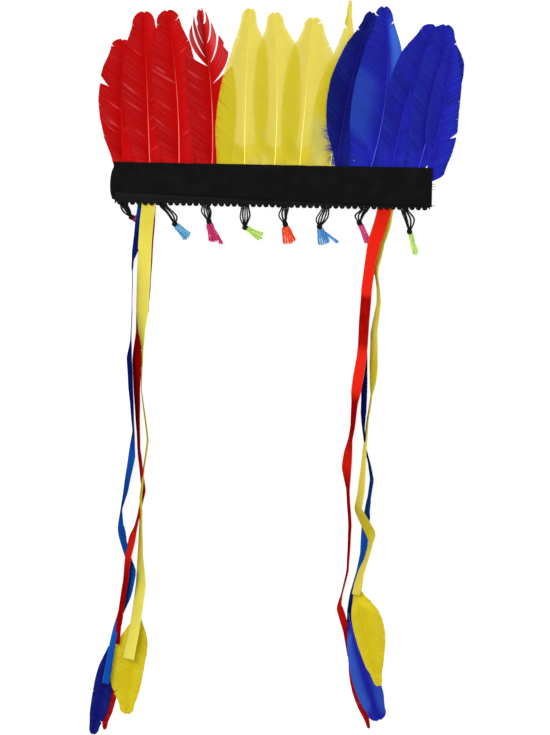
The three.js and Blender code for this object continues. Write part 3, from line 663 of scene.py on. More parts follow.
@dataclass(frozen=True)
class FeatherShape:
    """One feather: its plan line, its heights and the widths of its two vanes.

    Widths are shares of half at the shares of the length in WIDTH_AT.
    """

    name: str
    root: Place
    tip: Place
    left: tuple[float, ...]
    right: tuple[float, ...]
    heights: Place
    bow: float = 0.0
    lift: float = 0.0
    fall: float = 1.0
    start: float = 0.0
    half: float = FEATHER_HALF
    tilt: float = 5.0
    camber: float = 0.5
    quill: float = 2.6
    tuck: float = 22.0
    splits: tuple[Split, ...] = ()
    locks: tuple[Lock, ...] = ()
    down: tuple[Down, ...] = ()
    # Painted sheen: the side, the first and last share of the length, and how much paler the barbs are.
    sheen: tuple[tuple[Side, float, float, float], ...] = ()
    tone: float = 0.0
    shine: float = 1.0

    WIDTH_AT = np.array([0, 0.25, 0.5, 0.75, 0.92])
    SWEEP, SWEEP_TURN, SQUARE_TURN = 0.75, 0.16, 0.12
    DROP_POWER, LIFT_TURN = 1.3, 0.15

    @property
    def length(self) -> float:
        """Straight length from root to tip."""
        return math.dist(self.root, self.tip)

    def _pull(self) -> np.ndarray:
        """Control point of the rachis's plan curve."""
        root, tip = np.array(self.root), np.array(self.tip)
        chord = tip - root
        side = square_to(chord) / self.length
        return (root + tip) / 2 + side * 2 * self.bow * self.length

    def point(self, v: np.ndarray) -> np.ndarray:
        """Plan points of the rachis at shares of its length; below 0 it runs on straight."""
        root, tip, pull = np.array(self.root), np.array(self.tip), self._pull()
        t = np.clip(v, 0, 1)[:, None]
        curve = bezier(t, root, pull, tip)
        first = (pull - root) / np.linalg.norm(pull - root)
        return curve + np.minimum(v, 0)[:, None] * self.length * first

    def along(self, v: np.ndarray) -> np.ndarray:
        """Unit directions of the rachis in plan."""
        root, tip, pull = np.array(self.root), np.array(self.tip), self._pull()
        t = np.clip(v, 0, 1)[:, None]
        return unit((1 - t) * (pull - root) + t * (tip - pull))

    def width(self, side: Side, v: np.ndarray) -> np.ndarray:
        """Widths of one vane, rounded off to nothing at the tip.

        Args:
            side: The vane.
            v: Shares of the feather's length.

        Returns:
            The width at each share, in millimetres.
        """
        widths = np.array(self.right if side is Side.RIGHT else self.left)
        last = len(widths) - 1
        k = np.clip(np.searchsorted(self.WIDTH_AT, v, side="right") - 1, 0, last - 1)
        part = np.clip((v - self.WIDTH_AT[k]) / (self.WIDTH_AT[k + 1] - self.WIDTH_AT[k]), 0, 1)
        rise = (widths[k + 1] - widths[np.maximum(k - 1, 0)]) / 2
        fall = (widths[np.minimum(k + 2, last)] - widths[k]) / 2
        p2, p3 = part ** 2, part ** 3
        middle = ((2 * p3 - 3 * p2 + 1) * widths[k] + (p3 - 2 * p2 + part) * rise
                  + (3 * p2 - 2 * p3) * widths[k + 1] + (p3 - p2) * fall)
        beyond = np.clip((v - self.WIDTH_AT[-1]) / (1 - self.WIDTH_AT[-1]), 0, 1)
        tipped = np.where(v > self.WIDTH_AT[-1], widths[-1] * np.sqrt(1 - beyond ** 2), middle)
        if self.start < 0:
            tipped = np.where(v < 0, widths[0] * np.sqrt(np.clip(1 - (v / self.start) ** 2, 0, 1)), tipped)
        return self.half * tipped

    def height(self, v: np.ndarray) -> np.ndarray:
        """Heights of the middle line."""
        root, tip = self.heights
        drop = (root - tip) * (np.maximum(v, 0) * self.fall) ** self.DROP_POWER
        return root - drop + self.lift * smooth(0, self.LIFT_TURN, v)

    def edge_share(self, side: Side, u: np.ndarray) -> np.ndarray:
        """Where barbs meet the edge, found by halving.

        Args:
            side: The vane.
            u: Shares of the length at which the barbs leave the rachis.

        Returns:
            The share at which each barb meets the edge.
        """
        sweep = self.SWEEP * smooth(self.start, self.start + self.SWEEP_TURN, u)
        low, high = u.copy(), np.ones_like(u)
        for _ in range(24):
            middle = (low + high) / 2
            short = middle < u + sweep * self.width(side, middle) / self.length
            low, high = np.where(short, middle, low), np.where(short, high, middle)
        return (low + high) / 2


@dataclass
class Plume:
    """Builds one feather: its barbs, its wisps of down and its rachis.

    pitch is the distance between barbs, steps the points on each and girth its half width. flatness
    squashes a barb and louvre leans it, in radians. bulge and forward bend it outwards, as a share of the
    vane's width, and towards the tip. last is the share of the rachis where barbs end, barest the
    narrowest vane that has any and lowest the least height of a barb. ragged and waver are how unevenly
    barbs end and lie. parting is how far along the feather a split pushes barbs, and its reach is the
    share of the length in which they follow it. sheen_fade is half the length over which a sheen fades.

    CLUMP is how many neighbouring barbs hang together. GATHERING, STRAY and CLUMP_TINT are how closely,
    how far off and how differently dyed they are, and PUSH is how much of a split's width each side takes.
    """

    shape: FeatherShape
    finish: FeatherFinish
    seed: int
    pitch: float = 0.62
    steps: int = 8
    girth: float = 0.52
    flatness: float = 0.16
    louvre: float = 0.12
    streaks: int = 5
    lowest: float = 0.15
    bulge: float = 0.42
    forward: float = 0.3
    last: float = 0.985
    barest: float = 0.5
    ragged: float = 0.006
    waver: float = 0.12
    parting: float = 0.045
    reach: float = 0.1
    sheen_fade: float = 0.06

    CLUMP, GATHERING, STRAY, CLUMP_TINT, PUSH = (9, 30), 0.035, 0.1, 0.04, 0.75

    def __post_init__(self) -> None:
        """Seeds the feather's own random draws."""
        self.random = np.random.default_rng(self.seed)

    def _gather(self, side: Side, v: np.ndarray) -> tuple[np.ndarray, np.ndarray, np.ndarray]:
        """Groups barbs into locks.

        Args:
            side: The vane.
            v: Edge share of each barb.

        Returns:
            For each barb, how far its end moves along the feather and outwards, in millimetres, and
            the tint of its lock.
        """
        shape, count = self.shape, len(v)
        along, out, tint = np.zeros(count), np.zeros(count), np.zeros(count)
        first = 0
        while first < count:
            size = int(self.random.integers(*self.CLUMP))
            lock = slice(first, min(count, first + size))
            gather = self.random.uniform(0.0, self.GATHERING)
            along[lock] = (v[lock].mean() - v[lock]) * shape.length * gather
            along[lock] += self.random.normal(0, self.STRAY)
            out[lock] = self.random.normal(0, self.STRAY)
            tint[lock] = self.random.normal(0, self.CLUMP_TINT)
            first += size
        for split in shape.splits:
            if split.side is side:
                away = v - split.at
                push = np.exp(-np.abs(away) / self.parting) * split.wide * shape.half * self.PUSH
                along += np.where(away > 0, push, -push)
        return along, out, tint

    def _barbs(self, side: Side) -> list[Strand]:
        """Barbs of one vane, from the rachis to the edge, gathered in locks and parted at the splits."""
        shape, sign = self.shape, side.value
        trial = np.linspace(shape.start, self.last, 400)
        gaps = np.maximum(np.diff(trial), np.diff(shape.edge_share(side, trial)))
        covered = np.concatenate([[0], np.cumsum(gaps)])
        count = int(covered[-1] * shape.length / self.pitch)
        u = np.interp(np.linspace(0, covered[-1], count), covered, trial)
        v = shape.edge_share(side, u)
        width = shape.width(side, v)
        straight = shape.along(v)
        square = np.stack([np.sign(straight[:, 1]), np.zeros(count)], -1)
        turn = smooth(shape.start, shape.start + shape.SQUARE_TURN, v)[:, None]
        out = unit(square * (1 - turn) + square_to(straight) * turn)
        root = shape.point(u)
        move, push, lock_tint = self._gather(side, v)
        width = width * (1 + self.random.normal(0, self.ragged, count))
        edge = shape.point(v) + sign * width[:, None] * out
        bend = root + sign * square_to(shape.along(u)) * (self.bulge * width)[:, None]
        bend = bend + self.forward * (shape.point(v) - root)
        t = np.linspace(0, 1, self.steps)
        plan = bezier(t[None, :, None], root[:, None], bend[:, None], edge[:, None])
        onset = self._onset(side, v, t)
        plan += (straight * move[:, None])[:, None] * onset[..., None]
        plan += (sign * out * push[:, None])[:, None] * onset[..., None]
        tilt = math.tan(math.radians(shape.tilt))
        rise = (1 - t) * shape.height(u)[:, None] + t * shape.height(v)[:, None]
        rise = rise - sign * tilt * width[:, None] * t
        rise = rise - shape.camber * ((width / shape.half) ** 2)[:, None] * t ** 2
        rise = rise + 0.05 * np.sin(np.cumsum(self.random.normal(0, self.waver, count)))[:, None] * t
        rise = np.maximum(rise, self.lowest)
        self._part(side, u, plan)
        tint = 0.6 + shape.tone + lock_tint + self.random.normal(0, 0.05, count)
        # Paleness of each point: painted sheen and pale locks, with short pale streaks.
        pale = self._pale(side, u, v)[:, None] * smooth(0.05, 0.7, t)[None] + self._flecks(count, t)
        taper = self.girth * self.finish.broad * (1 - 0.45 * smooth(0.75, 1.0, t))
        strands = []
        for k in range(count):
            if width[k] < self.barest:
                continue
            strands.append(
                Strand(raised(plan[k], rise[k]), taper, float(tint[k]), pale[k], sign * self.louvre))
        return strands

    def _part(self, side: Side, u: np.ndarray, plan: np.ndarray) -> None:
        """Moves the barbs of each loose lock into it.

        Args:
            side: The vane.
            u: Root share of each barb.
            plan: Plan points of each barb, changed in place.
        """
        shape, t = self.shape, np.linspace(0, 1, self.steps)[None, :, None]
        for lock in shape.locks:
            if lock.side is not side:
                continue
            for k in np.flatnonzero((u >= lock.low) & (u < lock.high)):
                share = (u[k] - lock.low) / (lock.high - lock.low) - 0.5
                ends = []
                for place, apart in ((lock.belly, 0.8), (lock.tip, 1.0)):
                    at = np.array([place[0] + share * apart * lock.spread / shape.length])
                    out = square_to(shape.along(at)[0]) * side.value
                    loose = self.random.normal(0, 0.12)
                    ends.append(shape.point(at)[0] + out * (place[1] * (1 - 0.25 * share) + loose))
                root, (belly, tip) = shape.point(u[k:k + 1])[0], ends
                plan[k] = bezier(t, root, belly, tip)[0]

    def _flecks(self, count: int, t: np.ndarray) -> np.ndarray:
        """Short pale streaks on a few neighbouring barbs.

        Args:
            count: How many barbs there are.
            t: Shares of a barb's length.

        Returns:
            How pale each point of each barb is.
        """
        flecks = np.zeros((count, len(t)))
        for _ in range(self.streaks):
            at, middle = self.random.uniform(0.15, 0.75) * count, self.random.uniform(0.3, 0.9)
            near = np.exp(-((np.arange(count) - at) / self.random.uniform(0.6, 1.6)) ** 2)
            reach = np.exp(-((t - middle) / self.random.uniform(0.1, 0.25)) ** 2)
            flecks += self.finish.fleck * self.random.uniform(0.4, 1.2) * near[:, None] * reach[None]
        return flecks

    def _onset(self, side: Side, v: np.ndarray, t: np.ndarray) -> np.ndarray:
        """How strongly each barb follows its lock: beside a split, only beyond its bottom.

        Args:
            side: The vane.
            v: Edge share of each barb.
            t: Shares of a barb's length.

        Returns:
            A weight from 0 to 1 for each point of each barb.
        """
        weight = np.broadcast_to(t ** 2, (len(v), len(t))).copy()
        for split in self.shape.splits:
            if split.side is side:
                near = (np.abs(v - split.at) < self.reach)[:, None]
                beyond = np.clip((t - (1 - split.deep)) / split.deep, 0, 1)
                weight = np.where(near, beyond[None], weight)
        return weight

    def _pale(self, side: Side, u: np.ndarray, v: np.ndarray) -> np.ndarray:
        """How pale each barb is, where the feather catches the light and in its loose locks.

        Args:
            side: The vane.
            u: Root share of each barb.
            v: Edge share of each barb.

        Returns:
            A paleness for each barb.
        """
        pale = np.clip(self.random.normal(0.04, 0.03, len(v)), 0, 1)
        # Painted sheen: barbs paler where the feather catches the light.
        for where, low, high, amount in self.shape.sheen:
            if where is side:
                begun = smooth(low - self.sheen_fade, low + self.sheen_fade, v)
                ended = smooth(high - self.sheen_fade, high + self.sheen_fade, v)
                pale = pale + amount * begun * (1 - ended)
        for lock in self.shape.locks:
            if lock.side is side:
                inside = (u >= lock.low) & (u < lock.high)
                pale = pale + np.where(inside, lock.pale * self.random.uniform(0.2, 1.6, len(u)), 0)
        return pale

    def _wisps(self) -> list[Strand]:
        """Loose downy hairs beside the vanes' bases."""
        strands = []
        t = np.linspace(0, 1, 8)
        for down in self.shape.down:
            sign = down.side.value
            shares = np.sort(self.random.uniform(down.low, down.high, down.count))
            widths = self.shape.width(down.side, shares)
            middle, along = self.shape.point(shares), self.shape.along(shares)
            for k in range(down.count):
                out = sign * square_to(along[k])
                angle = self.random.uniform(-0.7, 1.1)
                heading = out * math.cos(angle) + along[k] * math.sin(angle)
                reach = down.reach * self.random.uniform(0.35, 1.0)
                curl = self.random.uniform(-0.35, 0.35) * reach
                start = middle[k] + out * widths[k] * 0.8
                bent = -square_to(heading) * (curl * t * t)[:, None]
                plan = start + heading * (reach * t)[:, None] + bent
                level = self.shape.height(shares[k:k + 1])[0] - sign * 0.06 * widths[k]
                rise = np.maximum(level + self.random.uniform(-0.6, 0.3) * t * 2, 0.3)
                strands.append(Strand(raised(plan, rise), 0.18 * (1 - 0.7 * t), 0.5, 0.2))
        return strands

    def _rachis(self) -> Strand:
        """The tapering shaft, from the quill's hidden end to just under the tip."""
        shape = self.shape
        v = np.concatenate([np.linspace(-shape.tuck / shape.length, shape.start - 0.01, 5),
                            np.linspace(shape.start + 0.01, self.last, 26)])
        visible = smooth(shape.start - 0.12, shape.start, v)
        bare, slim = shape.quill / 2, shape.quill * 0.17
        girth = (bare + (slim - bare) * visible) * (1 - 0.78 * np.clip(v, 0, 1) ** 1.2)
        rise = shape.height(v) + 0.12 * visible
        shine = shape.shine * np.clip(1.25 - 1.6 * v, 0, 1)
        return Strand(raised(shape.point(v), rise), girth, 0.6 + shape.tone, shine)

    def build(self, tree: Grower) -> None:
        """Makes the feather's two pieces and hands them over."""
        node = self.shape.name
        strands = self._barbs(Side.LEFT) + self._barbs(Side.RIGHT) + self._wisps()
        values = {"Sides": 4, "Flatness": self.flatness, "Material": self.finish.barbs()}
        vane = strands_piece(f"{node}_vane", strands, tree, values)
        hand_over(vane, [node])
        values = {"Sides": 8, "Flatness": 0.9, "Material": self.finish.rachis()}
        shaft = strands_piece(f"{node}_shaft", [self._rachis()], tree, values)
        shaft.data.shade_smooth()
        hand_over(shaft, [node])


@dataclass(frozen=True)
class Bend:
    """A fold or bend of a ribbon.

    down is a share of the ribbon drop below the braid and side is in ribbon widths from the group's
    fastening. turn is the roll about the ribbon's length in degrees, rise the lowest edge's height in
    ribbon walls, shade how much painted shade darkens the satin there from 0 to 1, and wide the share
    of the width that is left where the ribbon is creased lengthwise.
    """

    down: float
    side: float
    turn: float
    rise: float
    shade: float
    wide: float = 1.0


@dataclass
class Ribbon:
    """One satin ribbon that lies twisted on the floor.

    tucked says that its end lies between the loop and the braid. cup is how far a ribbon on its edge
    curls, layer how far a crease holds its two layers from the middle, and station how far apart the
    rows are.
    """

    name: str
    fastening: float
    bends: Sequence[Bend]
    finish: SatinFinish
    tucked: bool = False
    wall: float = 0.24
    cup: float = 0.35
    layer: float = 0.27
    station: float = 1.2
    columns: int = 19

    SOFTEN = np.array([1, 3, 4, 3, 1]) / 12

    def _column(self, column: str, share: np.ndarray) -> np.ndarray:
        """Values of one column of the bends, straight between rows and a little rounded at them."""
        rows = self.bends
        values = np.interp(share, [row.down for row in rows], [getattr(row, column) for row in rows])
        return np.convolve(np.pad(values, 2, mode="edge"), self.SOFTEN, mode="valid")

    def _path(self) -> tuple[np.ndarray, np.ndarray, np.ndarray, np.ndarray]:
        """Middle points, turns in radians, widths and painted shade along the ribbon."""
        first = -RIBBON_TUCK if self.tucked else self.bends[0].down * RIBBON_DROP
        last = self.bends[-1].down * RIBBON_DROP
        down = np.linspace(first, last, int((last - first) / self.station))
        share = down / RIBBON_DROP
        turn = np.radians(self._column("turn", share))
        width = RIBBON_WIDTH * self._column("wide", share)
        tall = (width * np.sin(turn) + RIBBON_WALL * np.cos(turn)) / 2
        aside = self.fastening + self._column("side", share) * RIBBON_WIDTH
        height = self._column("rise", share) * RIBBON_WALL + tall
        middle = np.stack([aside, -BRAID_BOTTOM - down, height], -1)
        return middle, turn, width, self._column("shade", share)

    def _section(
        self, width: np.ndarray, distance: np.ndarray, stand: np.ndarray,
    ) -> tuple[np.ndarray, np.ndarray]:
        """Cross sections of the ribbon, which is folded in two layers where less than its width shows.

        Args:
            width: Width that is left at each row.
            distance: Distance of each row along the ribbon.
            stand: How far each row stands on its edge, from 0 to 1.

        Returns:
            For each row and column, the place across the ribbon and the place through it.
        """
        from_edge = np.linspace(0, RIBBON_WIDTH, self.columns)
        to_crease = width[:, None] - from_edge[None]
        lateral = width[:, None] / 2 - np.sqrt(to_crease ** 2 + 0.04) + 0.2
        folded = smooth(0.0, 0.12, 1 - width / RIBBON_WIDTH)[:, None]
        offset = self.layer * folded * to_crease / np.sqrt(to_crease ** 2 + 0.09)
        share = lateral / (width[:, None] / 2)
        curl = self.cup * np.sin(distance / 31 + self.fastening) * stand ** 2
        ripple = 0.1 * np.sin(distance / 4.3) * stand
        return lateral, offset + curl[:, None] * (1 - share ** 2) + ripple[:, None] * share ** 4

    def build(self) -> None:
        middle, turn, width, shade = self._path()
        along = np.gradient(middle, axis=0)
        along[:, 2] = 0
        along = unit(along)
        flat = np.stack([-along[:, 1], along[:, 0], np.zeros(len(along))], -1)
        across = flat * np.cos(turn)[:, None]
        across[:, 2] = np.sin(turn)
        through = np.cross(along, across)
        distance = distances(middle)
        lateral, offset = self._section(width, distance, np.sin(turn))
        centre = middle[:, None] + across[:, None] * lateral[..., None]
        centre = centre + through[:, None] * offset[..., None]
        normal = unit(np.cross(np.gradient(centre, axis=0), np.gradient(centre, axis=1)))
        half = normal * self.wall / 2
        piece = grid_piece(f"satin_{self.name}", centre + half, centre - half, distance * MM)
        # Painted shade of each row, which darkens the satin's colour.
        store(piece, "shade", np.tile(np.repeat(shade, self.columns), 2))
        piece.data.materials.append(self.finish.material())
        hand_over(piece, [f"ribbon_{self.name}"])
        LOG.info("ribbon %s: %.0f mm long", self.name, distance[-1])


@dataclass
class Band:
    """The black band: elastic loop, cloth cover and picot braid."""

    elastic: WovenFinish
    cloth: WovenFinish
    cord: ThreadFinish
    seed: int = 11

    def build(self, sweep: Grower, picots: Grower) -> None:
        """Makes every part of the band."""
        self._loop()
        self._cover()
        self._braid(sweep, picots)
        self._frayed(sweep)

    def _loop(self) -> None:
        """The elastic ring, folded flat, as one closed wall with ribs that run round it."""
        straight = (HEAD_ROUND - math.pi * LOOP_RISE) / 4
        inner, middle = LOOP_RISE / 2, LOOP_WALL + LOOP_RISE / 2
        line = np.linspace(-straight, straight, 40)
        arc = np.linspace(-math.pi / 2, math.pi / 2, 17)[1:-1]
        profile = [(x, -1.0, 0.0) for x in line]
        profile += [(straight, math.sin(a), math.cos(a)) for a in arc]
        profile += [(x, 1.0, 0.0) for x in line[::-1]]
        profile += [(-straight, -math.sin(a), -math.cos(a)) for a in arc]
        profile = np.array(profile + profile[:1])
        ribs = 21
        across = np.linspace(-LOOP_WIDTH / 2, LOOP_WIDTH / 2, ribs * 6 + 1)
        groove = 0.12 * np.cos(across / LOOP_WIDTH * ribs * 2 * math.pi)
        far = np.abs(2 * across / LOOP_WIDTH)
        slack = 1 - 0.018 * far ** 3 - 0.006 * (across > 0) * far

        def shell(radius: np.ndarray) -> np.ndarray:
            """Points of one face of the wall, at a distance from the loop's middle line."""
            grid = np.zeros((len(profile), len(across), 3))
            grid[..., 0] = (profile[:, None, 0] + profile[:, None, 2] * radius[None]) * slack[None]
            grid[..., 1] = across[None]
            grid[..., 2] = middle + profile[:, None, 1] * radius[None]
            return grid

        outer = shell(inner + LOOP_WALL - 0.15 + groove)
        within = shell(np.full(len(across), inner))
        piece = grid_piece("elastic_loop", outer, within, distances(outer[:, 0]) * MM)
        weld(piece, 0.02)
        piece.data.materials.append(self.elastic.material())
        hand_over(piece, ["head_loop"])

    def _lower_edge(self, share: np.ndarray) -> np.ndarray:
        """Y of the cover's lower edge at shares of its length."""
        low, third, high = COVER_BELOW
        first, last = COVER_LEFT, COVER_LEFT + COVER_LENGTH
        t = np.linspace(0, 1, 200)
        x = bezier(t, first, first + COVER_LENGTH / 3, last)
        y = -bezier(t, low, third, high)
        return np.interp(first + share * COVER_LENGTH, x, y)

    def _cover(self) -> None:
        """The cloth over the feathers' quills, with soft wrinkles and rolled edges."""
        low, high = (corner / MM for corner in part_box("cover_band"))
        share = np.linspace(0, 1, 241)
        w = np.linspace(0, 1, 33)
        roll_width = 2.0
        x = COVER_LEFT + share * COVER_LENGTH
        random = np.random.default_rng(self.seed)
        bottom, top = self._lower_edge(share), np.full_like(share, COVER_ABOVE)
        waver = np.interp(share, np.linspace(0, 1, 40), random.normal(0, 0.12, 40))
        y = bottom[:, None] + (top + waver - bottom)[:, None] * w[None]
        edge = np.minimum(np.minimum(y - bottom[:, None], top[:, None] - y), roll_width)
        ends = np.minimum(np.minimum(share, 1 - share) * COVER_LENGTH, roll_width)
        roll = np.sqrt(np.clip(1 - (1 - np.minimum(edge, ends[:, None]) / roll_width) ** 2, 0, 1))
        wrinkle = (0.22 * np.sin(x / 17)[:, None] * np.sin(w * 5)[None]
                   + 0.3 * np.exp(-((x[:, None] - 97 - 14 * w[None]) / 3.5) ** 2)
                   + 0.2 * np.exp(-((x[:, None] + 92 - 9 * w[None]) / 4.0) ** 2))
        z = high[2] - 0.45 - 0.8 * (1 - roll) + wrinkle * roll
        grid = np.stack([np.broadcast_to(x[:, None], y.shape), y, z], -1)
        under = grid.copy()
        under[..., 2] = low[2] + 0.1 * (1 - roll)
        piece = grid_piece("cover_cloth", grid, under, share * COVER_LENGTH * MM)
        piece.data.materials.append(self.cloth.material())
        hand_over(piece, ["cover_band"])

    def _braid(self, sweep: Grower, picots: Grower) -> None:
        """The braid: a scalloped tape, cords laid along it and a picot loop round each scallop."""
        low, high = (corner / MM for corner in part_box("tassel_braid"))
        count = int(BRAID_LENGTH // SCALLOP_PITCH)
        per = 14
        x = np.linspace(low[0], high[0], count * per + 1)
        margin = (BRAID_LENGTH - count * SCALLOP_PITCH) / 2
        phase = ((x - low[0] - margin) / SCALLOP_PITCH) % 1.0 - 0.5
        half = 0.37
        lobe = np.sqrt(np.clip(1 - (phase / half) ** 2, 0, 1))
        bottom = -BRAID_BOTTOM - SCALLOP_REACH * lobe
        w = np.linspace(0, 1, 25)
        y = bottom[:, None] + (-BRAID_TOP - bottom)[:, None] * w[None]
        weave = 1.9
        slanted = np.sin((x[:, None] + y * 0.7) * 2 * math.pi / weave)
        relief = 0.14 * np.sin(y * 2 * math.pi / weave) * slanted
        edge = np.clip(np.minimum(y - bottom[:, None], -BRAID_TOP - y) / 0.8, 0, 1)
        z = high[2] - 0.35 + relief * edge - 0.45 * (1 - edge)
        top = np.stack([np.broadcast_to(x[:, None], y.shape), y, z], -1)
        under = top.copy()
        under[..., 2] = low[2] + 0.15
        tape = grid_piece("braid_tape", top, under, (x - low[0]) * MM)
        store(tape, "tint", np.full(len(tape.data.vertices), 0.35))
        tape.data.materials.append(self.cord.material())
        hand_over(tape, ["tassel_braid"])
        level = high[2] - 0.45
        centres = low[0] + margin + (np.arange(count) + 0.5) * SCALLOP_PITCH
        rows = np.stack([centres, np.full(count, -BRAID_BOTTOM), np.full(count, level)], -1)
        loops = new_piece("braid_picots", rows)
        values = {"Half width": half * SCALLOP_PITCH * MM, "Reach": SCALLOP_REACH * MM, "Girth": 0.42 * MM}
        picots.grow(loops, values | {"Material": self.cord.material()})
        loops.data.shade_smooth()
        hand_over(loops, ["tassel_braid"])
        plait_inset, plait_pitch, plait_points = 0.6, 4.4, 700
        along = np.linspace(low[0] + plait_inset, high[0] - plait_inset, plait_points)
        cords = []
        for place in (-BRAID_BOTTOM + 1.1, -BRAID_BOTTOM + 3.6):
            for shift in (0.0, math.pi):
                angle = along * 2 * math.pi / plait_pitch + shift
                high_in_cord = level + 0.15 + 0.18 * np.cos(angle)
                points = np.stack([along, place + 0.42 * np.sin(angle), high_in_cord], -1)
                cords.append(Strand(points, 0.36, 0.6))
        thread_piece("braid_plaits", cords, sweep, self.cord, "tassel_braid", 6)

    def _frayed(self, sweep: Grower) -> None:
        """Loose thread ends at the right end of the cover."""
        random = np.random.default_rng(self.seed + 1)
        t = np.linspace(0, 1, 12)
        right = COVER_LEFT + COVER_LENGTH
        strands = []
        ends = ((4.0, 12.4, 3.2), (1.5, 12.3, 4.6), (-1.0, 12.2, 2.6), (-15.6, 10.8, 3.4),
                (-16.2, 10.8, 2.2), (12.5, 12.4, 1.6))
        for place, level, reach in ends:
            bend = random.normal(0, 1.4)
            points = np.stack([right - 1.2 + (reach + 1.2) * t, place + bend * t ** 2 - 0.8 * t,
                               level - 0.8 * t + 0.4 * np.sin(3 * t)], -1)
            strands.append(Strand(points, 0.26 * (1 - 0.5 * t), 0.6))
        values = {"Sides": 5, "Flatness": 1.0, "Material": self.cord.material()}
        hand_over(strands_piece("loose_threads", strands, sweep, values), [])


def weld(piece: bpy.types.Object, distance: float) -> None:
    """Merges points of a mesh that lie within a distance in millimetres of each other."""
    modifier = piece.modifiers.new("weld", "WELD")
    modifier.merge_threshold = distance * MM
    flatten(piece, modifier)


